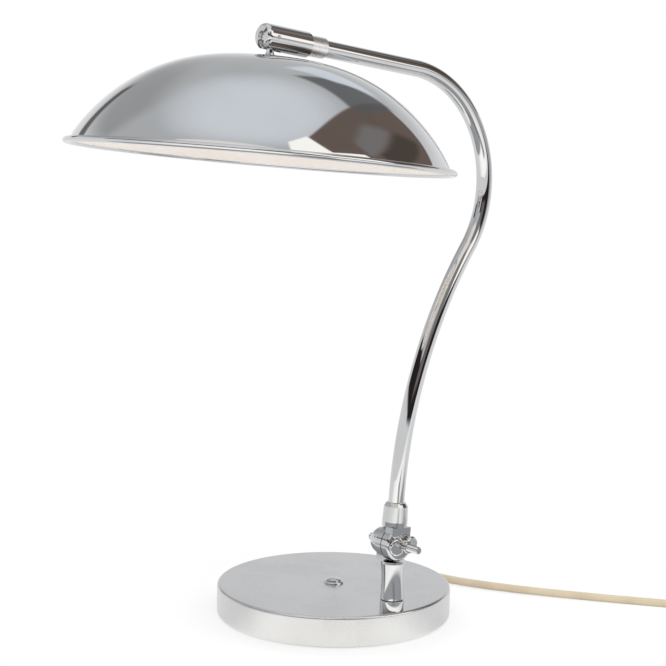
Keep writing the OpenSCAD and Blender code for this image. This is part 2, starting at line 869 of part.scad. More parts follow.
// Dished spring washers between the journal and the cup
module spring_washers() {
    count = 4;
    pitch = (sleeve_back - journal_l - seat_back) / count;
    sheet = 0.5;
    rim = ball_r - 0.3;
    hole = lead_r + 0.6;
    color("gray") along_sleeve() for (i = [0 : count - 1]) translate([0, 0, -seat_back - (i + 0.5) * pitch])
        mirror([0, 0, i % 2]) rotate_extrude() polygon([
            [hole, -pitch / 2], [rim, pitch / 2 - sheet], [rim, pitch / 2], [hole, -pitch / 2 + sheet]]);
}

// Ball, stem, flange on the shade and threaded nipple through it
module shade_stem() {
    color("silver") on_shade() difference() {
        union() {
            translate([0, 0, stem_l]) sphere(r = ball_r);
            bar(stem_r, stem_l);
            rotate_extrude() polygon([[0, 0], [flange_r, 0], [flange_r, flange_t - 0.5],
                [flange_r - 0.5, flange_t], [stem_r + 0.8, flange_t], [stem_r, flange_t + 1.6], [0, flange_t + 1.6]]);
            bar(nipple_r, nipple_end + tiny, -nipple_end);
        }
        bar(stem_bore, stem_l + nipple_end + tiny, -nipple_end - tiny);
        translate([0, 0, stem_l]) rotate([0, 75, 0]) bar(stem_bore - 0.4, ball_r + 1);
        for (s = [-1, 1]) translate([0, 0, stem_l]) rotate([s * 90, 0, 0])
            bar(pivot_r + run_gap, ball_r, pivot_in - run_gap);
    }
}

// ---------- shade ----------

// Height of the dome over its rim at radius r
function dome(r, rim, h) = h * pow(max(1 - pow(r / rim, crown), 0), 1 / flank);

// Spun dome with a hole on top and a rolled rim
module shade() {
    steps = 22;
    outer = [for (i = [0 : steps]) let (r = dome_r * sin(90 * i / steps)) [r, dome(r, dome_r, dome_h)]];
    in_r = dome_r - shade_t;
    inner = [for (i = [steps : -1 : 0]) let (r = in_r * sin(90 * i / steps)) [r, dome(r, in_r, dome_h - shade_t)]];
    color("silver") on_shade() translate([0, 0, -dome_h]) difference() {
        union() {
            rotate_extrude($fn = 128) polygon(concat(outer, inner));
            rotate_extrude($fn = 128) translate([bead_r, 0]) circle(r = rim_r, $fn = 32);
        }
        bar(nipple_r, 3 * shade_t, dome_h - 2 * shade_t);
        bar(shade_nut_r + 1, shade_t, dome_h - 2 * shade_t);
    }
}

module shade_nut() {
    color("gray") on_shade() translate([0, 0, -shade_t - shade_nut_t]) hex_nut(shade_nut_r, shade_nut_t, nipple_r);
}

// ---------- lampholder ----------

module holder_cap() {
    neck = nipple_r + 3;
    profile = concat(
        [[neck, -cap_z], [0, -cap_z], [0, -holder_z], [holder_r, -holder_z], [holder_r, -holder_z + 4]],
        arc([holder_r - 6, -holder_z + 4], 6, 0, 70, 6),
        [[neck, -cap_z - 3.5]]);
    color("ivory") on_shade() difference() {
        rotate_extrude() polygon(profile);
        bar(nipple_r, nipple_end - cap_z + tiny, -nipple_end);
        bar(holder_r - holder_wall, holder_z - nipple_end + tiny, -holder_z - tiny);
    }
}

module holder_body() {
    mouth = thread_r + shell_t;
    low = -holder_z - holder_h;
    profile = [
        [holder_r - holder_wall, -holder_z], [holder_r, -holder_z], [holder_r, -holder_z - 4],
        [holder_r - 1, -holder_z - 6], [holder_r - 1.6, low + 1], [holder_r - 2.6, low],
        [mouth, low], [mouth, low + 3], [holder_r - 1.6 - holder_wall, low + 5],
        [holder_r - 1 - holder_wall, -holder_z - 6]
    ];
    color("ivory") on_shade() rotate_extrude() polygon(profile);
}

// Insulating block that carries the contacts
module holder_block() {
    color("white") on_shade() bar(holder_r - holder_wall - 1, block_t, -holder_z - block_t);
}

module holder_shell() {
    reach = holder_h - block_t;
    color("goldenrod") on_shade() difference() {
        bar(thread_r + shell_t, reach, -shell_z - reach);
        bar(thread_r, thread_l + 2 * tiny, -shell_z - reach - tiny);
        bar(thread_r - 3, reach, -shell_z - reach + tiny);
    }
}

module holder_contact() {
    color("goldenrod") on_shade() {
        translate([-6, -2, -shell_z - 0.6]) cube([12, 4, 0.6]);
        bar(2.4, 2, -shell_z - 2.6 + tiny);
    }
}

// ---------- cord and plug ----------

module cord() {
    u = [cos(outlet_bearing), sin(outlet_bearing), 0];
    start = relief_end * u + [0, 0, outlet_z];
    color("wheat") swept(concat([start, start + 3 * u], route), cord_r);
}

// Outer shape of the wound cord
module cord_coil() {
    edge = 3;
    color("wheat") translate([coil_x, coil_y, 0]) rotate_extrude() polygon(concat(
        arc([coil_out - edge, coil_z + edge], edge, -90, 0, 4),
        arc([coil_out - edge, coil_z + coil_h - edge], edge, 0, 90, 4),
        arc([coil_in + edge, coil_z + coil_h - edge], edge, 90, 180, 4),
        arc([coil_in + edge, coil_z + edge], edge, 180, 270, 4)));
}

function tail_point(a, z) = [coil_x + tail_r * cos(a), coil_y + tail_r * sin(a), z];

// Last of the cord, rising from the coil's top turn to the plug
module cord_tail() {
    steps = 7;
    points = [for (i = [0 : steps]) let (u = i / steps)
        tail_point(tail_from + tail_sweep * u, tail_z + (plug_z - tail_z) * (3 * u * u - 2 * u * u * u))];
    color("wheat") swept(points, cord_r);
}

module at_plug() {
    translate(tail_point(tail_from + tail_sweep, plug_z)) rotate([0, 0, tail_from + tail_sweep + 90])
        rotate([0, 90, 0]) children();
}

// Strap round the coil
module cord_tie() {
    w = coil_out - coil_in;
    color("dimgray") translate([coil_x, coil_y, 0]) rotate([0, 0, 20]) difference() {
        translate([coil_in - tie_slack - tie_t, -tie_w / 2, 0])
            cube([w + tie_slack + 2 * tie_t, tie_w, coil_h + 2 * tie_t]);
        translate([coil_in - tie_slack, -tie_w, tie_t]) cube([w + tie_slack, 2 * tie_w, coil_h]);
    }
}

// Flat two-pin plug, from the cord's end to the face that carries the pins
module plug_body() {
    outline = [
        [0, -cord_r - 1], [7, -cord_r - 2], [15, -plug_w / 2 + 2], [20, -plug_w / 2],
        [plug_l - 5, -plug_nose_w / 2 + 1], [plug_l, -plug_nose_w / 2 + 3],
        [plug_l, plug_nose_w / 2 - 3], [plug_l - 5, plug_nose_w / 2 - 1],
        [20, plug_w / 2], [15, plug_w / 2 - 2], [7, cord_r + 2], [0, cord_r + 1]
    ];
    color("wheat") at_plug() rotate([0, -90, 0]) translate([0, 0, -plug_t / 2])
        linear_extrude(plug_t) polygon(outline);
}

module plug_pins() {
    color("silver") at_plug() for (s = [-1, 1]) translate([0, s * pin_gap / 2, plug_l - tiny])
        turned_disc(pin_r, pin_l, 1);
}

base_cover();
base_weight();
base_plate();
base_felt();
base_screws();
switch_bezel();
switch_nut();
switch_body();
switch_button();
cord_bush();
cord_clamp();
clamp_screws();
supply_lead();
lamp_lead();
column_boss();
column_pipe();
pipe_washer();
pipe_nut();
pipe_ring();
stop_pin();
swivel_washer();
column();
column_head();
hinge_stud();
stud_nut();
friction_washer();
lock_washer();
wing_nut();
arm_socket();
socket_screw();
arm_tube();
arm_lead();
arm_collar();
swivel_sleeve();
sleeve_screw();
pivot_screws();
ball_seat();
spring_washers();
shade_stem();
shade();
shade_nut();
holder_cap();
holder_body();
holder_block();
holder_shell();
holder_contact();
cord();
cord_coil();
cord_tail();
cord_tie();
plug_body();
plug_pins();
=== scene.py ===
"""Looks of a dome shade desk lamp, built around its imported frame.

Everything is in metres, in the frame's own axes: +Z up, the arm in a plane along X with the
shade on its -X side, and the table at zero.
"""

from __future__ import annotations

import json
import logging
import math
from dataclasses import dataclass
from enum import Enum
from itertools import product
from typing import Sequence

import bmesh
import bpy
from mathutils import Matrix, Vector

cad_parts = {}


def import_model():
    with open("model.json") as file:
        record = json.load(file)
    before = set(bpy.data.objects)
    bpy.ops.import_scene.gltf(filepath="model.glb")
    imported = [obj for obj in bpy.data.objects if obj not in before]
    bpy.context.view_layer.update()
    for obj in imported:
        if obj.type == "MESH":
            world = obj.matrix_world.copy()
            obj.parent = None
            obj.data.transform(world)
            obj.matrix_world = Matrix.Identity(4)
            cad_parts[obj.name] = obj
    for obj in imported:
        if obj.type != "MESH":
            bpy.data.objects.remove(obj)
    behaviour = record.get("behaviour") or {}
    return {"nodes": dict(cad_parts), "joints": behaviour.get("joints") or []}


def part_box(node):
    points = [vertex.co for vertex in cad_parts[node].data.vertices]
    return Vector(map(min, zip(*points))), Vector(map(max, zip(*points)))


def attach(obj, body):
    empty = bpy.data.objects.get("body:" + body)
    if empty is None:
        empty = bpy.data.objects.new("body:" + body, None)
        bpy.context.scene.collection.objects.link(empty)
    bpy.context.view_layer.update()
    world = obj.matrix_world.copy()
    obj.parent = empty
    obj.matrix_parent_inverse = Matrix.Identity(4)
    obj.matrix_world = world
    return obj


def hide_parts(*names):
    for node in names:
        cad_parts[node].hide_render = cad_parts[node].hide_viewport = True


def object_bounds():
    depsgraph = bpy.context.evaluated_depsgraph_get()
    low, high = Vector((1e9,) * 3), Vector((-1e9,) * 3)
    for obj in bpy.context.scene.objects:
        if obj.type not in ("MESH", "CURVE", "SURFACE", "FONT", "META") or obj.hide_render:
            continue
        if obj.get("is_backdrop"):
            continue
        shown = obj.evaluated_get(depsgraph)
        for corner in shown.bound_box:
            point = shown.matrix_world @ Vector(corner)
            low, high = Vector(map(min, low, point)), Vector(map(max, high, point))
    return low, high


log = logging.getLogger("lamp")

MM = 0.001
SEAM = 1e-6
CAMERA_TURN = 40.0
Colour = tuple[float, float, float]
Point = tuple[float, float, float]
Span = tuple[float, float]


class Body(str, Enum):
    """Bodies of the frame that new pieces ride on."""

    BASE = "base"
    COLUMN = "column"
    ARM = "arm"
    SHADE = "shade"


class Slot(str, Enum):
    """Names of the record's material slots, passed with new pieces."""

    CHROME_SHADE = "chrome_shade"
    CHROME_TUBE = "chrome_tube"
    CREAM = "cream_plastic"
    CORD = "beige_cord"
    STRAP = "tie_strap"
    PLUG = "plug_plastic"


# ---------- node trees ----------


class Value:
    """An output socket that stands in arithmetic: each operator adds a Math node."""

    def __init__(self, tree: Tree, socket: bpy.types.NodeSocket) -> None:
        """Keeps the tree and the socket."""
        self.tree = tree
        self.socket = socket

    def _math(self, operation: str, *terms: Value | float) -> Value:
        """Adds one Math node.

        Args:
            operation: Blender's name of the operation.
            terms: Its inputs, in order.

        Returns:
            The node's result.
        """
        made = self.tree.node("ShaderNodeMath", {"operation": operation}, dict(enumerate(terms)))
        return Value(self.tree, made.outputs[0])

    def __add__(self, other: Value | float) -> Value:
        """Sum."""
        return self._math("ADD", self, other)

    __radd__ = __add__

    def __sub__(self, other: Value | float) -> Value:
        """Difference."""
        return self._math("SUBTRACT", self, other)

    def __rsub__(self, other: float) -> Value:
        """Difference, reflected."""
        return self._math("SUBTRACT", other, self)

    def __mul__(self, other: Value | float) -> Value:
        """Product."""
        return self._math("MULTIPLY", self, other)

    __rmul__ = __mul__

    def __truediv__(self, other: Value | float) -> Value:
        """Quotient."""
        return self._math("DIVIDE", self, other)

    def __rtruediv__(self, other: float) -> Value:
        """Quotient, reflected."""
        return self._math("DIVIDE", other, self)

    def __pow__(self, other: Value | float) -> Value:
        """Power."""
        return self._math("POWER", self, other)

    def sine(self) -> Value:
        """Sine of an angle in radians."""
        return self._math("SINE", self)

    def cosine(self) -> Value:
        """Cosine of an angle in radians."""
        return self._math("COSINE", self)

    def size(self) -> Value:
        """How far it is from 0."""
        return self._math("ABSOLUTE", self)

    def at_least(self, other: Value | float) -> Value:
        """The larger of the two."""
        return self._math("MAXIMUM", self, other)

    def at_most(self, other: Value | float) -> Value:
        """The smaller of the two."""
        return self._math("MINIMUM", self, other)

    def swing(self) -> Value:
        """Triangle wave of period 1, from 0 to 1."""
        return self._math("PINGPONG", self, 0.5) * 2

    def step_up(self, low: float, high: float) -> Value:
        """0 below low, 1 above high, smooth between.

        Args:
            low: Where it starts to rise.
            high: Where it is 1.

        Returns:
            The step.
        """
        settings = {"interpolation_type": "SMOOTHSTEP"}
        made = self.tree.node("ShaderNodeMapRange", settings, {0: self, 1: low, 2: high})
        return Value(self.tree, made.outputs[0])


class Tree:
    """A node tree that is filled in from Python."""

    def __init__(self, tree: bpy.types.NodeTree) -> None:
        """Keeps the tree."""
        self.tree = tree

    def node(
        self,
        kind: str,
        settings: dict[str, object] | None = None,
        values: dict[str | int, object] | None = None,
    ) -> bpy.types.Node:
        """Adds a node.

        Args:
            kind: The node's type.
            settings: Its properties, such as a Math node's operation, set first.
            values: What goes into its sockets, by name or number: a Value or a plain value.

        Returns:
            The node.
        """
        made = self.tree.nodes.new(kind)
        for name, value in (settings or {}).items():
            setattr(made, name, value)
        for name, value in (values or {}).items():
            socket = made.inputs[name]
            if isinstance(value, Value):
                self.tree.links.new(value.socket, socket)
            else:
                socket.default_value = value
        return made

    def out(self, node: bpy.types.Node, name: str | int = 0) -> Value:
        """One output of a node, as a Value."""
        return Value(self, node.outputs[name])

    def split(self, vector: Value) -> tuple[Value, Value, Value]:
        """A vector's three parts."""
        made = self.node("ShaderNodeSeparateXYZ", values={0: vector})
        return self.out(made, 0), self.out(made, 1), self.out(made, 2)

    def join(self, x: Value | float, y: Value | float, z: Value | float) -> Value:
        """A vector from three parts."""
        return self.out(self.node("ShaderNodeCombineXYZ", values={0: x, 1: y, 2: z}))

    def blend(self, factor: Value | float, under: Colour | Value, over: Colour | Value) -> Value:
        """A colour between two.

        Args:
            factor: How much of the second shows, from 0 to 1.
            under: The first colour.
            over: The second.

        Returns:
            The mixed colour.
        """
        pair = [tone if isinstance(tone, Value) else (*tone, 1.0) for tone in (under, over)]
        values = {0: factor, 6: pair[0], 7: pair[1]}
        return self.out(self.node("ShaderNodeMix", {"data_type": "RGBA"}, values), 2)

    def wire(self, *wires: tuple[bpy.types.Node, bpy.types.Node, int]) -> None:
        """Links each node's first output to a numbered input of another."""
        for source, target, number in wires:
            self.tree.links.new(source.outputs[0], target.inputs[number])


class Material(Tree):
    """A surface material with one Principled shader."""

    def __init__(self, name: str) -> None:
        """Makes an empty material.

        Args:
            name: Its name.
        """
        self.made = bpy.data.materials.new(name)
        self.made.use_nodes = True
        self.made.node_tree.nodes.clear()
        super().__init__(self.made.node_tree)
        self.place = self.out(self.node("ShaderNodeTexCoord"), "Object")

    def noise(self, scale: float, detail: float = 3.0, stretch: Point = (1, 1, 1)) -> Value:
        """Smooth noise from 0 to 1.

        Args:
            scale: Cells to the metre.
            detail: Octaves.
            stretch: How far each axis is squeezed.

        Returns:
            The noise.
        """
        squeezed = self.node("ShaderNodeMapping", values={"Vector": self.place, "Scale": stretch})
        values = {"Vector": self.out(squeezed), "Scale": scale, "Detail": detail}
        return self.out(self.node("ShaderNodeTexNoise", values=values), "Fac")

    def bump(self, height: Value, depth: float, strength: float = 1.0) -> Value:
        """A normal from a height of 0 to 1, depth metres deep."""
        values = {"Height": height, "Distance": depth, "Strength": strength}
        return self.out(self.node("ShaderNodeBump", values=values), "Normal")

    def finish(self, **values: object) -> bpy.types.Material:
        """Adds the Principled shader and ends the material.

        Args:
            values: Its sockets, with _ for a space.

        Returns:
            The material.
        """
        named = {name.replace("_", " "): value for name, value in values.items()}
        for name, value in named.items():
            if isinstance(value, tuple) and len(value) == 3 and "Color" in name:
                named[name] = (*value, 1.0)
        shader = self.node("ShaderNodeBsdfPrincipled", values=named)
        self.wire((shader, self.node("ShaderNodeOutputMaterial"), 0))
        return self.made


# ---------- finishes ----------


@dataclass(frozen=True)
class Plating:
    """Bright plating over a polished or turned metal.

    Attributes:
        name: The material's name.
        colour: Its reflection.
        roughness: Of a clean stretch.
        haze: Added roughness where it has been handled.
        ground: Roughness added by grinding lines round the middle, none where 0.
        pitch: Distance between those lines.
    """

    name: str
    colour: Colour
    roughness: float
    haze: float
    ground: float = 0.0
    pitch: float = 0.9 * MM

    def make(self) -> bpy.types.Material:
        """Mixes the finish.

        Returns:
            The material.
        """
        m = Material(self.name)
        cloud = m.noise(26, 4).step_up(0.38, 0.72)
        wiped = m.noise(210, 2, (1, 1, 0.25)).step_up(0.45, 0.8)
        rough = self.roughness + self.haze * (0.7 * cloud + 0.3 * wiped)
        dull = tuple(0.93 * c for c in self.colour)
        if self.ground:
            x, y, _ = m.split(m.place)
            lines = ((x * x + y * y) ** 0.5 * (1 / self.pitch) + m.noise(14, 2) * 3).swing()
            rough = rough + lines * self.ground
        tone = m.blend(cloud * 0.6, self.colour, dull)
        return m.finish(Base_Color=tone, Metallic=1.0, Roughness=rough)


@dataclass(frozen=True)
class DullMetal:
    """Zinc plate, brass or cast iron: grain in its colour, roughness and surface.

    Attributes:
        name: The material's name.
        colour: Of a clean stretch.
        shadow: Of a tarnished stretch.
        roughness: Between the grains.
        metallic: 1 for bare metal, less for an oxide skin.
        grain: Grains to the metre.
        depth: How deep they are.
    """

    name: str
    colour: Colour
    shadow: Colour
    roughness: float
    metallic: float
    grain: float
    depth: float

    def make(self) -> bpy.types.Material:
        """Mixes the finish.

        Returns:
            The material.
        """
        m = Material(self.name)
        grain = m.noise(self.grain, 4)
        patch = m.noise(60, 3).step_up(0.35, 0.7)
        return m.finish(
            Base_Color=m.blend(patch, self.colour, self.shadow),
            Metallic=self.metallic,
            Roughness=self.roughness + 0.18 * grain,
            Normal=m.bump(grain, self.depth),
        )


@dataclass(frozen=True)
class Moulded:
    """Moulded plastic or rubber, with a fine mould texture and slight yellowing.

    Attributes:
        name: The material's name.
        colour: When new.
        aged: Where it has yellowed.
        roughness: Of the smoothest stretch.
        depth: Of the mould's texture.
        sheen: Of a dusty or fibrous skin.
    """

    name: str
    colour: Colour
    aged: Colour
    roughness: float
    depth: float = 0.03 * MM
    sheen: float = 0.0

    def make(self) -> bpy.types.Material:
        """Mixes the finish.

        Returns:
            The material.
        """
        m = Material(self.name)
        skin = m.noise(2600, 2)
        age = m.noise(34, 3).step_up(0.35, 0.75)
        return m.finish(
            Base_Color=m.blend(age, self.colour, self.aged),
            Roughness=self.roughness + 0.12 * m.noise(420, 2),
            Normal=m.bump(skin, self.depth, 0.6),
            Sheen_Weight=self.sheen,
        )


@dataclass(frozen=True)
class Enamel:
    """Sprayed stove enamel inside the shade, with orange peel."""

    name: str
    colour: Colour
    warm: Colour

    def make(self) -> bpy.types.Material:
        """Mixes the finish.

        Returns:
            The material.
        """
        m = Material(self.name)
        return m.finish(
            Base_Color=m.blend(m.noise(30, 3).step_up(0.3, 0.7), self.colour, self.warm),
            Roughness=0.36 + 0.1 * m.noise(300, 2),
            Normal=m.bump(m.noise(900, 2), 0.02 * MM),
            Coat_Weight=0.25,
        )


@dataclass(frozen=True)
class Felt:
    """Pressed felt: short tangled fibres."""

    name: str
    colour: Colour
    fibre: Colour

    def make(self) -> bpy.types.Material:
        """Mixes the finish.

        Returns:
            The material.
        """
        m = Material(self.name)
        tangle = m.noise(1800, 5, (1, 1, 0.3))
        return m.finish(
            Base_Color=m.blend(tangle.step_up(0.4, 0.65), self.colour, self.fibre),
            Roughness=0.95,
            Normal=m.bump(tangle, 0.25 * MM),
        )


SHADE_CHROME = Plating("shade_plating", (0.665, 0.67, 0.675), 0.035, 0.03)
TUBE_CHROME = Plating("tube_plating", (0.67, 0.675, 0.68), 0.03, 0.03)
BASE_CHROME = Plating("base_plating", (0.69, 0.69, 0.69), 0.22, 0.05, ground=0.05)
SATIN_CHROME = Plating("satin_plating", (0.93, 0.93, 0.925), 0.30, 0.05)
CAST_CHROME = Plating("cast_plating", (0.63, 0.635, 0.64), 0.10, 0.06)
ZINC = DullMetal("zinc_plate", (0.60, 0.60, 0.57), (0.50, 0.49, 0.44), 0.32, 1.0, 900, 0.02 * MM)
IRON = DullMetal("cast_iron", (0.055, 0.055, 0.06), (0.035, 0.033, 0.03), 0.7, 0.6, 700, 0.2 * MM)
BRASS = DullMetal("dull_brass", (0.70, 0.52, 0.26), (0.52, 0.38, 0.19), 0.3, 1.0, 1100, 0.02 * MM)
FIBRE = Moulded("pressed_fibre", (0.07, 0.06, 0.05), (0.04, 0.035, 0.03), 0.8, 0.08 * MM)
CREAM = Moulded("cream_phenolic", (0.80, 0.76, 0.66), (0.74, 0.68, 0.55), 0.38)
BLACK = Moulded("black_moulding", (0.025, 0.025, 0.028), (0.035, 0.034, 0.033), 0.42)
LEAD = Moulded("lead_sheath", (0.72, 0.70, 0.66), (0.66, 0.62, 0.55), 0.5)
CORD = Moulded("cord_sheath", (0.65, 0.55, 0.40), (0.58, 0.48, 0.34), 0.48, 0.04 * MM, 0.1)
PLUG = Moulded("plug_moulding", (0.64, 0.57, 0.43), (0.57, 0.50, 0.36), 0.42)
STRAP = Moulded("tie_strap", (0.03, 0.03, 0.032), (0.05, 0.05, 0.05), 0.6)
ENAMEL = Enamel("shade_enamel", (0.93, 0.88, 0.84), (0.91, 0.85, 0.79))
FELT = Felt("base_felt", (0.012, 0.016, 0.013), (0.035, 0.045, 0.038))


Finish = Plating | DullMetal | Moulded | Enamel | Felt


class Palette:
    """Makes each finish once."""

    def __init__(self) -> None:
        """Starts empty."""
        self.made: dict[str, bpy.types.Material] = {}

    def __getitem__(self, finish: Finish) -> bpy.types.Material:
        """The material of a finish.

        Args:
            finish: Which one.

        Returns:
            Its material, the same one each time.
        """
        if finish.name not in self.made:
            self.made[finish.name] = finish.make()
        return self.made[finish.name]


# ---------- meshes ----------


def arc(
    centre: Sequence[float], radius: float, start: float, end: float, steps: int
) -> list[tuple[float, float]]:
    """Points of an arc in the plane of a profile.

    Args:
        centre: Its centre.
        radius: Its radius.
        start: First angle, in degrees.
        end: Last angle, in degrees.
        steps: Stretches between the points.

    Returns:
        The points, both ends included.
    """
    angles = [math.radians(start + (end - start) * i / steps) for i in range(steps + 1)]
    return [(centre[0] + radius * math.cos(a), centre[1] + radius * math.sin(a)) for a in angles]


def frame_at(origin: Point, along: Point, side: Point = (0, 1, 0)) -> Matrix:
    """A placing with its Z along a direction and its Y near another.

    Args:
        origin: Where it stands.
        along: Its Z.
        side: What its Y keeps to.

    Returns:
        The matrix.
    """
    z = Vector(along).normalized()
    x = Vector(side).cross(z).normalized()
    y = z.cross(x)
    made = Matrix((x, y, z)).transposed().to_4x4()
    made.translation = Vector(origin)
    return made


def piece(name: str, mesh: bpy.types.Mesh, body: Body, slot: Slot, *nodes: str) -> bpy.types.Object:
    """Puts a finished mesh on its body.

    Args:
        name: The piece's name.
        mesh: Its mesh, in place.
        body: What it rides on.
        slot: The record's slot meant for it; not used.
        nodes: CAD nodes that it stands for.

    Returns:
        Its object.
    """
    made = bpy.data.objects.new(name, mesh)
    bpy.context.scene.collection.objects.link(made)
    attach(made, body.value)
    if nodes:
        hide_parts(*nodes)
    log.info("%s: %d faces on %s", name, len(mesh.polygons), body.value)
    return made


def spline_curve(name: str, line: Sequence[Vector]) -> bpy.types.Curve:
    """A curve of one open spline.

    Args:
        name: The curve's name.
        line: The points that it runs through.

    Returns:
        The curve.
    """
    curve = bpy.data.curves.new(name, "CURVE")
    curve.dimensions = "3D"
    spline = curve.splines.new("POLY")
    spline.points.add(len(line) - 1)
    for point, at in zip(spline.points, line):
        point.co = (*at, 1)
    return curve


def bridge(
    work: bmesh.types.BMesh, low: Sequence[bmesh.types.BMVert], high: Sequence[bmesh.types.BMVert]
) -> None:
    """Joins two rings by a strip of faces.

    Args:
        work: The mesh under way.
        low: One ring; one point over and over where it is closed to that point.
        high: The other, with as many points.
    """
    for k in range(len(low)):
        j = (k + 1) % len(low)
        corners: list[bmesh.types.BMVert] = []
        for vert in (low[k], low[j], high[j], high[k]):
            if vert not in corners:
                corners.append(vert)
        if len(corners) > 2:
            work.faces.new(corners)


def close_up(
    work: bmesh.types.BMesh, name: str, finish: bpy.types.Material, smooth_under: float = 40
) -> bpy.types.Mesh:
    """Ends a mesh: merges doubles, turns faces out, and shades smooth up to an angle.

    Args:
        work: The mesh under way; it is freed.
        name: The mesh's name.
        finish: Its material.
        smooth_under: Edges sharper than this, in degrees, stay crisp.

    Returns:
        The mesh.
    """
    bmesh.ops.remove_doubles(work, verts=work.verts, dist=1e-7)
    bmesh.ops.recalc_face_normals(work, faces=work.faces)
    for face in work.faces:
        face.smooth = True
    limit = math.radians(smooth_under)
    for edge in work.edges:
        edge.smooth = len(edge.link_faces) == 2 and edge.calc_face_angle(0) < limit
    mesh = bpy.data.meshes.new(name)
    work.to_mesh(mesh)
    work.free()
    mesh.materials.append(finish)
    return mesh


def turn(
    profile: Sequence[tuple[float, float]],
    place: Matrix,
    name: str,
    finish: bpy.types.Material,
    steps: int = 96,
    closed: bool = False,
) -> bpy.types.Mesh:
    """Turns a profile of (radius, height) round the Z of a placing.

    Args:
        profile: Points from one end to the other; an end on the axis closes there.
        place: Where the turned piece stands.
        name: The mesh's name.
        finish: Its material.
        steps: Faces round.
        closed: Joins the last point to the first.

    Returns:
        The mesh.
    """
    work = bmesh.new()
    rings = []
    for radius, height in profile:
        if radius < 1e-9:
            rings.append([work.verts.new(place @ Vector((0, 0, height)))] * steps)
            continue
        angles = [2 * math.pi * k / steps for k in range(steps)]
        at = [Vector((radius * math.cos(a), radius * math.sin(a), height)) for a in angles]
        rings.append([work.verts.new(place @ p) for p in at])
    pairs = list(zip(rings, rings[1:])) + ([(rings[-1], rings[0])] if closed else [])
    for low, high in pairs:
        bridge(work, low, high)
    return close_up(work, name, finish)


class Recipe(Tree):
    """A Geometry Nodes tree with named inputs that ends in a plain mesh."""

    def __init__(self, name: str, sizes: dict[str, float]) -> None:
        """Makes the group with its sockets.

        Args:
            name: The group's name.
            sizes: Each named size and its usual value; whole numbers become counts.
        """
        group = bpy.data.node_groups.new(name, "GeometryNodeTree")
        super().__init__(group)
        self.sockets: dict[str, str] = {}
        add = group.interface.new_socket
        add("Geometry", in_out="INPUT", socket_type="NodeSocketGeometry")
        for size, usual in sizes.items():
            kind = "NodeSocketInt" if isinstance(usual, int) else "NodeSocketFloat"
            made = add(size, in_out="INPUT", socket_type=kind)
            made.default_value = usual
            self.sockets[size] = made.identifier
        made = add("Finish", in_out="INPUT", socket_type="NodeSocketMaterial")
        self.sockets["Finish"] = made.identifier
        add("Geometry", in_out="OUTPUT", socket_type="NodeSocketGeometry")
        self.given = self.node("NodeGroupInput")

    def size(self, name: str) -> Value:
        """A named input."""
        return self.out(self.given, name)

    def end(self, shape: Value) -> Recipe:
        """Realizes the shape, gives it its finish, and closes the tree.

        Args:
            shape: What the tree has built.

        Returns:
            The recipe itself.
        """
        real = self.out(self.node("GeometryNodeRealizeInstances", values={0: shape}))
        values = {"Geometry": real, "Material": self.size("Finish")}
        done = self.node("GeometryNodeSetMaterial", values=values)
        self.wire((done, self.node("NodeGroupOutput"), 0))
        return self

    def make(
        self,
        name: str,
        finish: bpy.types.Material,
        sizes: dict[str, float],
        host: bpy.types.ID | None = None,
    ) -> bpy.types.Mesh:
        """Runs the tree and keeps its result as a plain mesh.

        Args:
            name: The mesh's name.
            finish: Its material.
            sizes: Values of the named inputs.
            host: The curve or mesh that the tree starts from.

        Returns:
            The mesh, with its normals turned out.
        """
        carrier = bpy.data.objects.new(name + "_host", host or bpy.data.meshes.new(name + "_host"))
        bpy.context.scene.collection.objects.link(carrier)
        modifier = carrier.modifiers.new("recipe", "NODES")
        modifier.node_group = self.tree
        for size, value in sizes.items():
            modifier[self.sockets[size]] = value
        modifier[self.sockets["Finish"]] = finish
        bpy.context.view_layer.update()
        shown = carrier.evaluated_get(bpy.context.evaluated_depsgraph_get())
        mesh = bpy.data.meshes.new_from_object(shown)
        bpy.data.objects.remove(carrier)
        work = bmesh.new()
        work.from_mesh(mesh)
        return close_up(work, name, finish)


def moved(mesh: bpy.types.Mesh, place: Matrix) -> bpy.types.Mesh:
    """The same mesh, put in place."""
    mesh.transform(place)
    return mesh


def sweep_recipe() -> Recipe:
    """Round tube along a curve.

    Returns:
        The recipe.
    """
    recipe = Recipe("tube_along_curve", {"Radius": 0.0065, "Sides": 64})
    size = recipe.size
    ring = recipe.node(
        "GeometryNodeCurvePrimitiveCircle",
        values={"Resolution": size("Sides"), "Radius": size("Radius")},
    )
    values = {"Curve": size("Geometry"), "Profile Curve": recipe.out(ring), "Fill Caps": True}
    return recipe.end(recipe.out(recipe.node("GeometryNodeCurveToMesh", values=values)))


def sheet_recipe(name: str, sizes: dict[str, float], shape: SheetRule) -> Recipe:
    """A closed round skin from a rule: a grid whose X goes round and whose Y goes along.

    Args:
        name: The group's name.
        sizes: The rule's named sizes.
        shape: Gives radius and height from the turn and the run, both 0 to 1.

    Returns:
        The recipe.
    """
    recipe = Recipe(name, {"Round": 96, "Along": 48, **sizes})
    counts = {"Vertices X": recipe.size("Round"), "Vertices Y": recipe.size("Along")}
    grid = recipe.node("GeometryNodeMeshGrid", values={"Size X": 1.0, "Size Y": 1.0, **counts})
    x, y, _ = recipe.split(recipe.out(recipe.node("GeometryNodeInputPosition")))
    turned, run = x + 0.5, y + 0.5
    radius, height = shape.at(recipe, turned, run)
    angle = turned * (2 * math.pi)
    place = recipe.join(radius * angle.cosine(), radius * angle.sine(), height)
    values = {"Geometry": recipe.out(grid), "Position": place}
    put = recipe.out(recipe.node("GeometryNodeSetPosition", values=values))
    seam = {"Geometry": put, "Distance": SEAM}
    return recipe.end(recipe.out(recipe.node("GeometryNodeMergeByDistance", values=seam)))


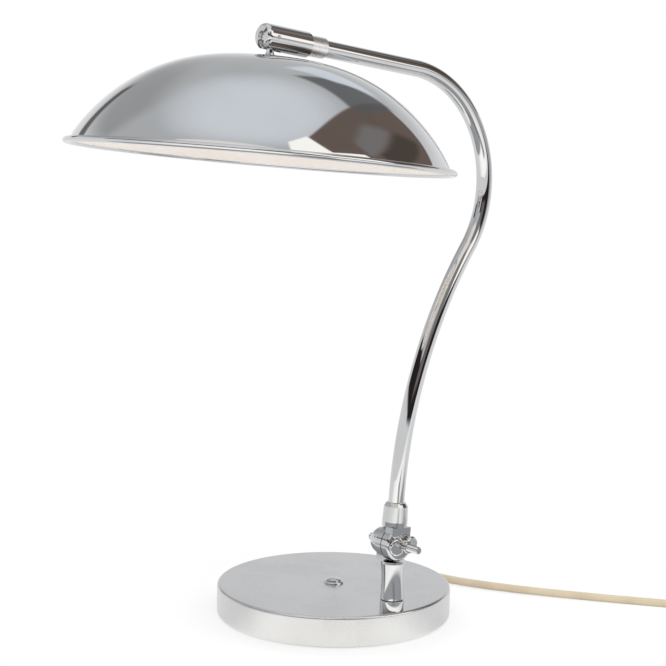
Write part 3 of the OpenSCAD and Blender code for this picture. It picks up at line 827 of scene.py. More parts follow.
class SheetRule:
    """A rule that gives a round skin its radius and height."""

    def at(self, tree: Recipe, turned: Value, run: Value) -> tuple[Value, Value]:
        """The skin's point at a turn and a run.

        Args:
            tree: The recipe under way, with the rule's named sizes.
            turned: How far round, from 0 to 1.
            run: How far along, from 0 to 1.

        Returns:
            Radius and height.
        """
        raise NotImplementedError


class DomeRule(SheetRule):
    """Spun dome: flat crown, steep flank."""

    def at(self, tree: Recipe, turned: Value, run: Value) -> tuple[Value, Value]:
        """The dome's point at a turn and a run.

        Args:
            tree: The recipe under way.
            turned: How far round, from 0 to 1.
            run: From the crown, 0, to the mouth, 1.

        Returns:
            Radius and height.
        """
        part = (run * (math.pi / 2)).sine()
        fall = (1 - part ** tree.size("Crown")).at_least(0) ** (1 / tree.size("Flank"))
        radius = tree.size("Hole") + (tree.size("Radius") - tree.size("Hole")) * part
        return radius, tree.size("Depth") * fall


class ThreadRule(SheetRule):
    """Screw thread on a rod, run out and capped at both ends."""

    def at(self, tree: Recipe, turned: Value, run: Value) -> tuple[Value, Value]:
        """The rod's point at a turn and a run.

        Args:
            tree: The recipe under way.
            turned: How far round, from 0 to 1.
            run: From one end, 0, to the other, 1.

        Returns:
            Radius and height.
        """
        length, rod, depth = tree.size("Length"), tree.size("Radius"), tree.size("Depth")
        wave = (run * length / tree.size("Pitch") + turned).swing()
        run_in = run * length / tree.size("Chamfer")
        run_out = (1 - run) * length / tree.size("Chamfer")
        ends = run_in.at_most(run_out).at_most(1)
        core = rod - depth * 1.2
        radius = (rod - depth * wave).at_most(core + ends * depth * 1.2)
        rows = tree.size("Along") - 1
        caps = (run * rows).at_most(1) * ((1 - run) * rows).at_most(1)
        return radius * caps, run * length


def blocks_recipe(
    recipe: Recipe, points: Value, sides: tuple[str, str, str], **more: Value
) -> Recipe:
    """Ends a recipe with a small block on every point.

    Args:
        recipe: The recipe under way.
        points: Where the blocks stand.
        sides: Names of the block's sizes along X, Y and Z.
        more: Other sockets of the instances, such as Rotation.

    Returns:
        The recipe.
    """
    block = recipe.node(
        "GeometryNodeMeshCube", values={"Size": recipe.join(*(recipe.size(side) for side in sides))}
    )
    values = {"Points": points, "Instance": recipe.out(block), **more}
    return recipe.end(recipe.out(recipe.node("GeometryNodeInstanceOnPoints", values=values)))


def ring_recipe() -> Recipe:
    """Small blocks round a circle, each turned to face the middle.

    Returns:
        The recipe.
    """
    usual = {"Count": 24, "Radius": 0.01, "Deep": 0.002, "Wide": 0.001, "High": 0.001}
    recipe = Recipe("blocks_round_circle", usual)
    size = recipe.size
    ring = recipe.node(
        "GeometryNodeMeshCircle", values={"Vertices": size("Count"), "Radius": size("Radius")}
    )
    index = recipe.out(recipe.node("GeometryNodeInputIndex"))
    step = index * (2 * math.pi) / size("Count")
    facing = recipe.join(0.0, 0.0, step)
    return blocks_recipe(recipe, recipe.out(ring), ("Deep", "Wide", "High"), Rotation=facing)


def row_recipe() -> Recipe:
    """Small blocks in a straight row along X.

    Returns:
        The recipe.
    """
    usual = {"Count": 6, "Step": 0.003, "Long": 0.001, "Wide": 0.01, "High": 0.001}
    recipe = Recipe("blocks_in_row", usual)
    values = {"Count": recipe.size("Count"), "Offset": recipe.join(recipe.size("Step"), 0.0, 0.0)}
    line = recipe.node("GeometryNodeMeshLine", values=values)
    return blocks_recipe(recipe, recipe.out(line), ("Long", "Wide", "High"))


# ---------- camera and studio ----------


@dataclass(frozen=True)
class Viewpoint:
    """Where the camera stands, worked out from the base, the rim and the arm.

    Attributes:
        distance: To the middle of the base's top.
        height: Angle over that top, in degrees.
        look_up: From that point up to the middle of the picture, in degrees.
        pan: Sideways from it, in degrees.
        roll: Of the camera, in degrees.
        turn: Of the arm's plane from the picture's, in degrees.
        focal: Focal length in pixels.
        pixels: The picture's width.
        sensor: The sensor's width, in millimetres.
    """

    distance: float = 1.4
    height: float = 16.234
    look_up: float = 8.808
    pan: float = -0.182
    roll: float = 1.0
    turn: float = CAMERA_TURN
    focal: float = 1607.2
    pixels: float = 666.0
    sensor: float = 36.0

    def make(self, base_top: float) -> bpy.types.Object:
        """Makes the scene's camera.

        Args:
            base_top: Height of the base's top.

        Returns:
            The camera.
        """
        e, p = math.radians(self.height), math.radians(self.pan)
        look = math.radians(self.look_up - self.height)
        turned = Matrix.Rotation(math.radians(-self.turn), 3, "Z")
        at = turned @ Vector((0, -math.cos(e), math.sin(e))) * self.distance
        at += Vector((0, 0, base_top))
        level = math.cos(look)
        ahead = turned @ Vector((math.sin(p) * level, math.cos(p) * level, math.sin(look)))
        right = ahead.cross(Vector((0, 0, 1))).normalized()
        up = right.cross(ahead)
        r = math.radians(self.roll)
        across = right * math.cos(r) + up * math.sin(r)
        upright = up * math.cos(r) - right * math.sin(r)
        placed = Matrix((across, upright, -ahead)).transposed().to_4x4()
        placed.translation = at
        lens = bpy.data.cameras.new("camera")
        lens.sensor_width = self.sensor
        lens.lens = self.focal / self.pixels * self.sensor
        lens.clip_start, lens.clip_end = 0.05, 60
        camera = bpy.data.objects.new("camera", lens)
        camera.matrix_world = placed
        bpy.context.scene.collection.objects.link(camera)
        bpy.context.scene.camera = camera
        return camera


@dataclass(frozen=True)
class Panel:
    """A soft sheet of the studio, as the plating mirrors it.

    Attributes:
        corners: Each corner's bearing round from the camera's side, to its right, and its height
            over the horizon, in degrees, going round it.
        colour: Its tone.
        soft: How far its edges fade, in degrees.
        cover: How much of it covers what lies behind.
    """

    corners: tuple[tuple[float, float], ...]
    colour: Colour
    soft: float = 1.5
    cover: float = 1.0


@dataclass(frozen=True)
class Band:
    """A tone that sets in over a height, in degrees over the horizon."""

    low: float
    high: float
    colour: Colour


SOFTBOX: Colour = (1.15, 1.12, 1.06)
DARK_SIDE: Colour = (0.020, 0.017, 0.016)
WARM_SIDE: Colour = (0.145, 0.11, 0.095)
BANDS = (Band(8, 32, (0.47, 0.48, 0.49)), Band(50, 76, (0.68, 0.71, 0.75)))
PANELS = (
    Panel(((-172, 16), (-160, 44), (-122, 52), (-112, 26)), (0.30, 0.30, 0.305), 14, 0.75),
    Panel(((-62, 26), (-62, 50), (20, 52), (28, 24)), (0.84, 0.79, 0.75), 4),
    Panel(((-100, 14), (-100, 24), (-9, 21), (-9, 9)), DARK_SIDE, 2.5),
    Panel(((-12, 9), (-12, 21), (76, 1), (76, -9)), DARK_SIDE, 2),
    Panel(((58, 40), (57, 65), (135, 51), (153, 33), (144, 21), (132, 12), (87, 8)), WARM_SIDE),
    Panel(((72, -8), (72, 2), (112, 15), (120, 2)), (0.36, 0.36, 0.365), 4, 0.9),
    Panel(((-3, 12), (2, 35), (13, 41), (33, 30), (46, 16), (32, 6)), (0.17, 0.155, 0.15), 4, 0.9),
    Panel(((88, 37), (92, 50), (118, 50), (128, 38)), (0.19, 0.18, 0.175), 5),
    Panel(((96, 20), (98, 37), (130, 36), (140, 24)), (0.075, 0.062, 0.052), 4),
    Panel(((134, 44), (134, 51.5), (169, 50), (164, 41), (152, 28)), (0.115, 0.115, 0.12), 3, 0.9),
    Panel(((157, 29), (161, 41), (175, 41), (174, 29)), (0.74, 0.80, 0.88), 3, 0.7),
    Panel(((28, 44), (36, 62), (61, 64), (62, 40)), SOFTBOX),
    Panel(((44, 14), (34, 46), (63, 46), (85, 40), (85, 2), (62, 6)), SOFTBOX),
    Panel(
        ((-158, 21), (-156, 26), (-138, 18), (-136, 9), (-148, 14)), (0.06, 0.055, 0.05), 3, 0.85
    ),
)


@dataclass(frozen=True)
class Table:
    """White table top under the lamp.

    Attributes:
        half: Half its side.
        sunk: How far under the frame's zero it lies.
        white: Its own colour.
        mirrored: Its tone in mirrored rays, beside and behind the lamp.
        front: The same before the lamp: painted light, brighter than white.
        close: The same right before the base: a dimmer, warmer painted reflection.
        wedge: Tone of a painted dark reflection: a wedge that runs forwards.
        edge: Tone of a painted dark reflection: a ring round the front.
        front_in: Over which cosines of the turn from the front that tone sets in.
        close_in: The same for the close tone.
        close_out: Over which distances from the middle of the base the close tone ends.
        ring_in: Over which distances the ring sets in.
        ring_out: Over which distances it ends.
        ring_front: How far ahead of the front line it sets in.
        shares: How much of the close tone, the ring and the wedge shows.
        wedge_line: Sideways place of the wedge's middle at the front line, and its slant.
        wedge_half: Half its width at the front line, and how that grows with the distance.
        wedge_soft: Over which distances in from its sides it sets in.
        wedge_in: How far ahead of the front line it sets in.
        wedge_out: How far ahead it ends.
        gloss: Share of mirrored rays that meet those tones.
        shadow: Share of the lamp's shadow that the camera sees close to the base.
        fade: From where to where that share falls to nothing.
        front_line: From the middle of the base to where the wedge is measured from.
    """

    half: float = 3.0
    sunk: float = 0.0003
    white: Colour = (0.92, 0.92, 0.92)
    mirrored: Colour = (0.88, 0.88, 0.88)
    # painted light in mirrored rays, brighter than white
    front: Colour = (1.45, 1.44, 1.40)
    close: Colour = (0.86, 0.85, 0.82)
    # painted dark reflection, seen only in mirrored rays
    wedge: Colour = (0.09, 0.085, 0.08)
    # painted dark reflection, seen only in mirrored rays
    edge: Colour = (0.125, 0.14, 0.17)
    front_in: Span = (0.25, 1.0)
    close_in: Span = (0.7, 0.95)
    close_out: Span = (0.15, 0.24)
    ring_in: Span = (0.21, 0.24)
    ring_out: Span = (0.62, 0.78)
    ring_front: Span = (-0.30, -0.16)
    shares: tuple[float, float, float] = (0.4, 0.9, 0.85)
    wedge_line: Span = (0.085, 0.44)
    wedge_half: Span = (0.04, 0.26)
    wedge_soft: Span = (-0.02, 0.02)
    wedge_in: Span = (-0.03, 0.03)
    wedge_out: Span = (0.95, 1.2)
    gloss: float = 0.8
    shadow: float = 0.34
    fade: Span = (0.12, 0.30)
    front_line: float = 0.24

    def make(self) -> None:
        """Lays the table."""
        half = self.half
        work = bmesh.new()
        corners = [(-half, -half), (half, -half), (half, half), (-half, half)]
        work.faces.new([work.verts.new((x, y, 0)) for x, y in corners])
        table = bpy.data.objects.new("table", close_up(work, "table", self._finish()))
        table.location.z = -self.sunk
        bpy.context.scene.collection.objects.link(table)
        table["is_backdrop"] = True

    def _finish(self) -> bpy.types.Material:
        """Matte white, lifted to plain white for the camera, with painted light and painted dark
        reflections that only mirrored rays meet.

        Returns:
            The material.
        """
        tree = Material("table_white")
        x, y, _ = tree.split(tree.place)
        away = (x * x + y * y) ** 0.5
        matte = tree.node("ShaderNodeBsdfDiffuse", values={"Color": (*self.white, 1)})
        glow = tree.node("ShaderNodeEmission", values={"Color": (1, 1, 1, 1)})
        # painted reflection: this glow, seen only in mirrored rays, carries the painted light and
        # dark tones of _tone
        sheen = tree.node("ShaderNodeEmission", values={"Color": self._tone(tree, x, y, away)})
        rays = tree.node("ShaderNodeLightPath")
        clear = away.step_up(*self.fade) * self.shadow + (1 - self.shadow)
        lifted = tree.out(rays, "Is Camera Ray") * clear
        mirrored = tree.out(rays, "Is Glossy Ray") * self.gloss
        first = tree.node("ShaderNodeMixShader", values={0: lifted})
        second = tree.node("ShaderNodeMixShader", values={0: mirrored})
        end = tree.node("ShaderNodeOutputMaterial")
        tree.wire((matte, first, 1), (glow, first, 2), (first, second, 1), (sheen, second, 2))
        tree.wire((second, end, 0))
        return tree.made

    def _tone(self, tree: Material, x: Value, y: Value, away: Value) -> Value:
        """The table's painted tone in mirrored rays: painted light before the lamp, dimmer right
        before the base, painted dark reflections in a ring and a wedge.

        Args:
            tree: The table's material.
            x: Along X.
            y: Along Y.
            away: From the middle of the base.

        Returns:
            The tone.
        """
        turned = math.radians(CAMERA_TURN)
        towards = x * -math.sin(turned) + y * -math.cos(turned)
        across = x * math.cos(turned) - y * math.sin(turned)
        ahead = towards / (away + 1e-4)
        forward = towards - self.front_line
        close_share, ring_share, wedge_share = self.shares
        # painted light: the table before the lamp glows brighter than white in mirrored rays
        tone = tree.blend(ahead.step_up(*self.front_in), self.mirrored, self.front)
        # dimmer, warmer painted reflection right before the base, in mirrored rays only
        near = (1 - away.step_up(*self.close_out)) * ahead.step_up(*self.close_in)
        tone = tree.blend(near * close_share, tone, self.close)
        # painted dark reflection: a blue-grey ring round the front, in mirrored rays only
        ring = away.step_up(*self.ring_in) * (1 - away.step_up(*self.ring_out))
        ring = ring * forward.step_up(*self.ring_front)
        tone = tree.blend(ring * ring_share, tone, self.edge)
        # painted dark reflection: a dark wedge that runs forwards, in mirrored rays only
        middle, slant = self.wedge_line
        half, spread = self.wedge_half
        off_line = (across - middle - forward * slant).size()
        wedge = (forward * spread + half - off_line).step_up(*self.wedge_soft)
        wedge = wedge * (forward.step_up(*self.wedge_in) * (1 - forward.step_up(*self.wedge_out)))
        return tree.blend(wedge * wedge_share, tone, self.wedge)


@dataclass(frozen=True)
class Surroundings:
    """The world: white to the camera, plain light on the object, soft panels in mirrored rays.

    Attributes:
        level: Tone of what is mirrored, where no band or panel covers it.
        gain: Strength of the mirrored tones.
        plain: Strength of the plain light.
    """

    level: Colour = (0.70, 0.70, 0.71)
    gain: float = 1.22
    plain: float = 0.8

    def make(self) -> None:
        """Builds the world."""
        world = bpy.data.worlds.new("studio")
        bpy.context.scene.world = world
        world.use_nodes = True
        world.node_tree.nodes.clear()
        tree = Tree(world.node_tree)
        rays = tree.node("ShaderNodeLightPath")
        camera = tree.out(rays, "Is Camera Ray").at_least(tree.out(rays, "Is Transmission Ray"))
        plain, seen = (self._light(tree, (1, 1, 1, 1), level) for level in (self.plain, 1.0))
        mirrored = self._light(tree, self._tone(tree), self.gain)
        first = tree.node("ShaderNodeMixShader", values={0: camera})
        second = tree.node("ShaderNodeMixShader", values={0: tree.out(rays, "Is Glossy Ray")})
        end = tree.node("ShaderNodeOutputWorld")
        tree.wire((plain, first, 1), (seen, first, 2), (first, second, 1), (mirrored, second, 2))
        tree.wire((second, end, 0))

    @staticmethod
    def _light(tree: Tree, tone: Value | tuple[float, ...], strength: float) -> bpy.types.Node:
        """One background of a tone and a strength."""
        return tree.node("ShaderNodeBackground", values={"Color": tone, "Strength": strength})

    def _tone(self, tree: Tree) -> Value:
        """The level tone, the bands over it, and the panels over those.

        Args:
            tree: The world's tree.

        Returns:
            The tone of each direction.
        """
        towards = tree.out(tree.node("ShaderNodeTexCoord"), "Generated")
        _, _, rise = tree.split(towards)
        tone: Value | Colour = self.level
        for band in BANDS:
            inside = rise.step_up(*(math.sin(math.radians(h)) for h in (band.low, band.high)))
            tone = tree.blend(inside, tone, band.colour)
        for panel in PANELS:
            tone = self._add_panel(tree, towards, tone, panel)
        return tone

    def _add_panel(self, tree: Tree, towards: Value, tone: Value, panel: Panel) -> Value:
        """Lays one panel over the rest: inside all its edges, each a plane through the lamp.

        Args:
            tree: The world's tree.
            towards: Direction looked in.
            tone: The tone so far.
            panel: What is added.

        Returns:
            The new tone.
        """
        corners = [self._towards(*corner) for corner in panel.corners]
        middle = sum(corners, Vector())
        soft = math.sin(math.radians(panel.soft))
        inside: Value | float = panel.cover
        for here, there in zip(corners, corners[1:] + corners[:1]):
            side = here.cross(there).normalized()
            inward = tuple(side if side.dot(middle) > 0 else -side)
            values = {0: towards, 1: inward}
            dot = tree.node("ShaderNodeVectorMath", {"operation": "DOT_PRODUCT"}, values)
            inside = tree.out(dot, "Value").step_up(-soft / 2, soft / 2) * inside
        return tree.blend(inside, tone, panel.colour)

    @staticmethod
    def _towards(bearing: float, height: float) -> Vector:
        """Direction of a bearing and a height, in the lamp's axes."""
        a, e = math.radians(bearing - CAMERA_TURN), math.radians(height)
        return Vector((math.sin(a) * math.cos(e), -math.cos(a) * math.cos(e), math.sin(e)))


@dataclass(frozen=True)
class SoftLamp:
    """A square area lamp that looks at the shade, unseen in mirrored rays.

    Attributes:
        name: Its name.
        at: Where it hangs.
        size: Its side.
        power: In watts.
        aim: What it looks at.
    """

    name: str
    at: Point
    size: float
    power: float
    aim: Point = (-0.05, -0.05, 0.25)

    def make(self) -> None:
        """Hangs the lamp."""
        data = bpy.data.lights.new(self.name, "AREA")
        data.size, data.energy = self.size, self.power
        lamp = bpy.data.objects.new(self.name, data)
        lamp.matrix_world = frame_at(self.at, tuple(Vector(self.at) - Vector(self.aim)))
        lamp.visible_glossy = False
        bpy.context.scene.collection.objects.link(lamp)


STUDIO = (
    Table(),
    Surroundings(),
    SoftLamp("key", (-1.1, -1.3, 1.9), 1.4, 20),
    SoftLamp("fill", (1.6, -0.9, 1.4), 1.6, 10),
    SoftLamp("back", (0.2, 1.7, 1.9), 1.6, 10),
)


# ---------- cord ----------

PLUG_LENGTH = 34.0
PLUG_WIDE = ((0, 4.5), (7, 5.5), (15, 11), (20, 13), (29, 14.5), (34, 12.5))
PLUG_HIGH = ((0, 4.4), (8, 5.4), (16, 6.9), (32, 6.95), (34, 6.2))


def ease(u: float) -> float:
    """0 to 1, slow at both ends."""
    return u * u * (3 - 2 * u)


@dataclass(frozen=True)
class CordRun:
    """The mains cord: out of the base, round behind it, off to a tied coil and a plug.

    Attributes:
        palette: The finishes.
        exit_bearing: Where it leaves the base, in degrees from +X.
        exit_reach: From the middle of the base to the strain relief's end.
        exit_z: Height of the hole.
        radius: Of the cord.
        length: Stated length; not used.
        coil: Middle of the coil, and the cord's gap to the table.
        coil_start: Where the winding starts, in degrees.
        coil_turns: Whole turns.
        tail_from: Where the end leaves the coil, in degrees.
        tail_sweep: How far round it still runs, in degrees.
        tail_r: Radius of that run.
        inner: Radius of the inner lane of turns.
        outer: Radius of the outer lane.
        crossing: Share of a turn after which it moves over to the next lane.
        plug_z: Height of the plug's middle.
        tie_at: Where the strap holds the turns, in degrees.
        route: Centreline from the strain relief to the coil, in millimetres, as the frame has it.
    """

    palette: Palette
    exit_bearing: float = 75.0
    exit_reach: float = 120 * MM
    exit_z: float = 10 * MM
    radius: float = 3.5 * MM
    length: float = 1.8
    coil: Point = (308.5 * MM, -183 * MM, 0.8 * MM)
    coil_start: float = 216.0
    coil_turns: int = 5
    tail_from: float = 227.0
    tail_sweep: float = 70.0
    tail_r: float = 40 * MM
    inner: float = 36.5 * MM
    outer: float = 43.5 * MM
    crossing: float = 0.85
    plug_z: float = 28.8 * MM
    tie_at: float = 20.0
    route: tuple[Point, ...] = (
        (36, 127.5, 8.4), (45, 135.5, 6), (57, 139.5, 4.3), (70, 139, 3.5), (83, 134, 3.5),
        (95, 125, 3.5), (106, 112.5, 3.5), (115, 97, 3.5), (122.5, 79, 3.5), (129, 59, 3.5),
        (134, 39, 3.5), (137.5, 20, 3.5), (141, 5, 3.5), (146, -10, 3.5), (157, -34, 3.5),
        (170, -58, 3.5), (185, -82, 3.5), (200, -105, 3.5), (215, -127, 3.5), (231, -149, 3.5),
        (246, -170, 3.5), (260, -190, 3.9), (273.4, -208.4, 4.3),
    )

    def points(self) -> list[Vector]:
        """The whole centreline.

        Returns:
            Its points, from the strain relief to the plug.
        """
        out = self._outward()
        start = out * self.exit_reach + Vector((0, 0, self.exit_z))
        line = [start, start + out * 3 * MM]
        line += [Vector(p) * MM for p in self.route]
        wound = self.coil_turns * 360 + self.tail_from - self.coil_start
        steps, tail_steps = 100, 8
        line += [self._wound(wound * i / steps) for i in range(1, steps + 1)]
        top = self._wound(wound).z
        for i in range(1, tail_steps + 1):
            u = i / tail_steps
            angle = self.tail_from + self.tail_sweep * u
            line.append(self._around(angle, self.tail_r, top + (self.plug_z - top) * ease(u)))
        return line

    def _outward(self) -> Vector:
        """Direction in which the cord leaves the base."""
        b = math.radians(self.exit_bearing)
        return Vector((math.cos(b), math.sin(b), 0))

    def _around(self, angle: float, radius: float, z: float) -> Vector:
        """A point round the coil's middle."""
        a = math.radians(angle)
        return Vector((self.coil[0] + radius * math.cos(a), self.coil[1] + radius * math.sin(a), z))

    def _wound(self, angle: float) -> Vector:
        """A point of the coil: each turn lies beside or on the last.

        Args:
            angle: Wound so far, in degrees.

        Returns:
            The point.
        """
        outer, inner = self.outer, self.inner
        lanes = [(outer, 0), (inner, 0), (inner, 1), (outer, 1), (outer, 2), (self.tail_r, 2)]
        lane = min(int(angle // 360), len(lanes) - 1)
        following = min(lane + 1, len(lanes) - 1)
        u = ease(min(max((angle / 360 - lane - self.crossing) / (1 - self.crossing), 0), 1))
        radius, level = (a * (1 - u) + b * u for a, b in zip(lanes[lane], lanes[following]))
        floor = self.coil[2] + self.radius
        return self._around(self.coil_start + angle, radius, floor + level * 2 * self.radius)

    def make(self) -> None:
        """Builds the cord, its strain relief, tie and plug."""
        line = self.points()
        curve = spline_curve("mains_cord", line)
        curve.bevel_depth = self.radius
        curve.bevel_resolution = 5
        curve.use_fill_caps = True
        curve.materials.append(self.palette[CORD])
        cord = bpy.data.objects.new("mains_cord", curve)
        bpy.context.scene.collection.objects.link(cord)
        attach(cord, Body.BASE.value)
        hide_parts("cord", "cord_coil", "cord_tail")
        self._relief()
        tie = self._tie()
        plug = self._plug()
        measured = sum((b - a).length for a, b in zip(line, line[1:]))
        log.info("mains_cord: %.3f m on %s", measured, Body.BASE.value)
        tuple(line[0])
        2 * self.radius

    def _relief(self) -> bpy.types.Object:
        """Moulded bush: flange inside the wall, neck through it, grooves down its taper.

        Returns:
            The piece.
        """
        place = frame_at((0, 0, self.exit_z), tuple(self._outward()), (0, 0, 1))
        wall, flange_r, neck_r, tip_r = 100 * MM, 6.4 * MM, 5.1 * MM, 4.0 * MM
        inner, back, front = wall - 4.45 * MM, wall - 1.45 * MM, wall + 0.25 * MM
        lip, lip_r = 5.9 * MM, 0.5 * MM
        profile = [(0, inner), (flange_r, inner), (flange_r, back), (neck_r, back)]
        profile += [(neck_r, front), (lip, front)]
        profile += arc((lip - lip_r, wall + 1.6 * MM), lip_r, 0, 90, 4)
        first, last = wall + 3 * MM, self.exit_reach - 1 * MM
        grooves, deep = 5, 0.6 * MM
        pitch = (last - first) / grooves
        taper = (neck_r - tip_r) / (last - first)
        for i in range(grooves):
            low, high = first + pitch * i, first + pitch * (i + 1)
            wide, thin = (neck_r - taper * (z - first) for z in (low, high))
            profile += [(wide, low), (wide, low + 0.62 * pitch)]
            profile += [(wide - deep, low + 0.7 * pitch), (thin - deep, high - 0.1 * pitch)]
        profile += [(tip_r, last), (tip_r - 0.1 * MM, self.exit_reach), (0, self.exit_reach)]
        mesh = turn(profile, place, "strain_relief", self.palette[CORD], 48)
        return piece("strain_relief", mesh, Body.BASE, Slot.CORD, "cord_bush")

    def _tie(self) -> bpy.types.Object:
        """Strap round all the turns.

        Returns:
            The piece.
        """
        low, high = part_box("cord_tie")
        slack, sheet, half_w, corner = 0.4 * MM, 0.8 * MM, 4 * MM, 2.6 * MM
        mid_r = (self.inner + self.outer) / 2
        half_r = (self.outer - self.inner) / 2 + self.radius + sheet / 2
        half_z = (high.z - low.z) / 2 - sheet / 2
        centre = self._around(self.tie_at, mid_r - slack / 2, (low.z + high.z) / 2)
        a = math.radians(self.tie_at)
        across, upward = Vector((math.cos(a), math.sin(a), 0)), Vector((0, 0, 1))
        along = upward.cross(across)
        loop = []
        for sx, sz, start in ((1, 1, 0), (-1, 1, 90), (-1, -1, 180), (1, -1, 270)):
            at = (sx * (half_r - corner + slack / 2), sz * (half_z - corner))
            loop += arc(at, corner, start, start + 90, 5)
        work = bmesh.new()
        rings = []
        for side, grow in product((-half_w, half_w), (-sheet / 2, sheet / 2)):
            ring = []
            for x, z in loop:
                flat = Vector((x, z))
                flat += flat.normalized() * grow
                at = centre + across * flat.x + upward * flat.y + along * side
                ring.append(work.verts.new(at))
            rings.append(ring)
        for first, second in ((0, 1), (1, 3), (3, 2), (2, 0)):
            bridge(work, rings[first], rings[second])
        mesh = close_up(work, "coil_tie", self.palette[STRAP])
        return piece("coil_tie", mesh, Body.BASE, Slot.STRAP, "cord_tie")

    def _plug(self) -> list[bpy.types.Object]:
        """Flat two-pin plug: a crowned body with grip ribs.

        Returns:
            The body and its ribs.
        """
        last = self.tail_from + self.tail_sweep
        end = self._around(last, self.tail_r, self.plug_z)
        heading = math.radians(last + 90)
        place = frame_at(tuple(end), (0, 0, 1), (-math.sin(heading), math.cos(heading), 0))
        work = bmesh.new()
        stations, sides, square = 28, 40, 0.55
        rings = []
        for i in range(stations + 1):
            x = PLUG_LENGTH * i / stations
            wide, high = self._along(PLUG_WIDE, x), self._along(PLUG_HIGH, x)
            ring = []
            for k in range(sides):
                c, s = math.cos(2 * math.pi * k / sides), math.sin(2 * math.pi * k / sides)
                y, z = (r * math.copysign(abs(t) ** square, t) for r, t in ((wide, c), (high, s)))
                ring.append(work.verts.new(place @ (Vector((x, y, z)) * MM)))
            rings.append(ring)
        for low, high in zip(rings, rings[1:]):
            bridge(work, low, high)
        work.faces.new(rings[0])
        work.faces.new(rings[-1])
        shell = close_up(work, "plug_shell", self.palette[PLUG])
        body = piece("plug_shell", shell, Body.BASE, Slot.PLUG, "plug_body")
        sizes = {"Count": 6, "Step": 2.2 * MM, "Long": 1.0 * MM, "Wide": 15 * MM, "High": 13.9 * MM}
        ribs = row_recipe().make("plug_ribs", self.palette[PLUG], sizes)
        put = place @ Matrix.Translation((18 * MM, 0, 0))
        return [body, piece("plug_ribs", moved(ribs, put), Body.BASE, Slot.PLUG)]

    @staticmethod
    def _along(stations: Sequence[tuple[float, float]], x: float) -> float:
        """A value read between stations.

        Args:
            stations: Places and the values there, in order.
            x: Where it is read.

        Returns:
            The value.
        """
        for (x0, v0), (x1, v1) in zip(stations, stations[1:]):
            if x <= x1:
                return v0 + (v1 - v0) * (x - x0) / (x1 - x0)
        return stations[-1][1]


# ---------- lamp ----------


@dataclass(frozen=True)
class Joints:
    """Places of the frame's joints."""

    entries: dict[str, dict]

    @classmethod
    def read(cls, joints: Sequence[dict]) -> Joints:
        """From the frame's list of joints."""
        return cls({j["name"]: j for j in joints})

    def at(self, name: str) -> Vector:
        """Where a joint is."""
        return Vector(self.entries[name]["pos_m"])


@dataclass(frozen=True)
class Base:
    """Round base, of which only the ring round the switch's button is built here.

    Attributes:
        palette: The finishes.
        bore: Radius of the button's hole.
        flange: How far the ring's edge stands over its neck.
        round_out: Rounding of its outer edge.
        round_in: Rounding of its inner edge.
    """

    palette: Palette
    bore: float = 6.2 * MM
    flange: float = 1.2 * MM
    round_out: float = 1.1 * MM
    round_in: float = 0.5 * MM

    def make(self) -> None:
        """Turns the ring."""
        low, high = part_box("switch_bezel")
        centre = (low + high) / 2
        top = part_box("base_cover")[1].z
        place = Matrix.Translation((centre.x, centre.y, top))
        outer = (high.x - low.x) / 2
        neck, rise, foot = outer - self.flange, high.z - top, low.z - top
        profile = [(self.bore, foot), (neck, foot), (neck, 0), (outer, 0), (outer, 0.2 * MM)]
        profile += arc((outer - self.round_out, rise - self.round_out), self.round_out, 0, 90, 8)
        profile += arc((self.bore + self.round_in, rise - self.round_in), self.round_in, 90, 180, 5)
        ring = turn(profile, place, "bezel_ring", self.palette[TUBE_CHROME], 64, closed=True)
        piece("bezel_ring", ring, Body.BASE, Slot.CHROME_TUBE, "switch_bezel")


@dataclass(frozen=True)
class Column:
    """Fixed boss and the waisted column that turns on it.

    Attributes:
        palette: The finishes.
        joints: The frame's joints.
        radius: At both ends.
        waist: How much less it is half way up.
        edge: Bevel of the foot.
        shaft: Bore on the pivot pipe.
        shaft_l: Its length.
        chamber: Bore over it.
        track_in: Inner radius of the stop pin's track.
        track_out: Its outer radius.
        track_up: Its depth.
        boss_round: Rounding of the boss.
    """

    palette: Palette
    joints: Joints
    radius: float = 9.8 * MM
    waist: float = 1.0 * MM
    edge: float = 0.35 * MM
    shaft: float = 5.05 * MM
    shaft_l: float = 12 * MM
    chamber: float = 7.3 * MM
    track_in: float = 6.1 * MM
    track_out: float = 8.7 * MM
    track_up: float = 2 * MM
    boss_round: float = 0.6 * MM

    def make(self) -> None:
        """Turns the column and its boss."""
        at = self.joints.at("column_swivel")
        low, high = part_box("column")
        height = high.z - low.z
        place = Matrix.Translation((at.x, at.y, low.z))
        finish = self.palette[TUBE_CHROME]
        mesh = turn(self._profile(height), place, "column_shell", finish, closed=True)
        piece("column_shell", mesh, Body.COLUMN, Slot.CHROME_TUBE, "column")
        low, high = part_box("column_boss")
        rise, bevel = high.z - low.z, self.boss_round
        boss = [(0, 0), (self.radius, 0)]
        boss += arc((self.radius - bevel, rise - bevel), bevel, 0, 90, 6) + [(0, rise)]
        stand = Matrix.Translation((at.x, at.y, low.z))
        mesh = turn(boss, stand, "boss_shell", finish)
        piece("boss_shell", mesh, Body.BASE, Slot.CHROME_TUBE, "column_boss")

    def _profile(self, height: float) -> list[tuple[float, float]]:
        """Bores, the stop pin's track, and the waisted side.

        Args:
            height: Of the column.

        Returns:
            Points of (radius, height), round the section.
        """
        steps = 40
        side = []
        for i in range(steps + 1):
            z = self.edge + (height - self.edge) * i / steps
            u = 2 * z / height - 1
            side.append((self.radius - self.waist * (1 - u * u), z))
        foot = side[0][0] - self.edge
        bores = [(self.chamber, height), (self.chamber, self.shaft_l), (self.shaft, self.shaft_l)]
        track = [(self.track_in, self.track_up), (self.track_out, self.track_up)]
        sole = [(self.shaft, 0), (self.track_in, 0), *track, (self.track_out, 0), (foot, 0)]
        return bores + sole + side


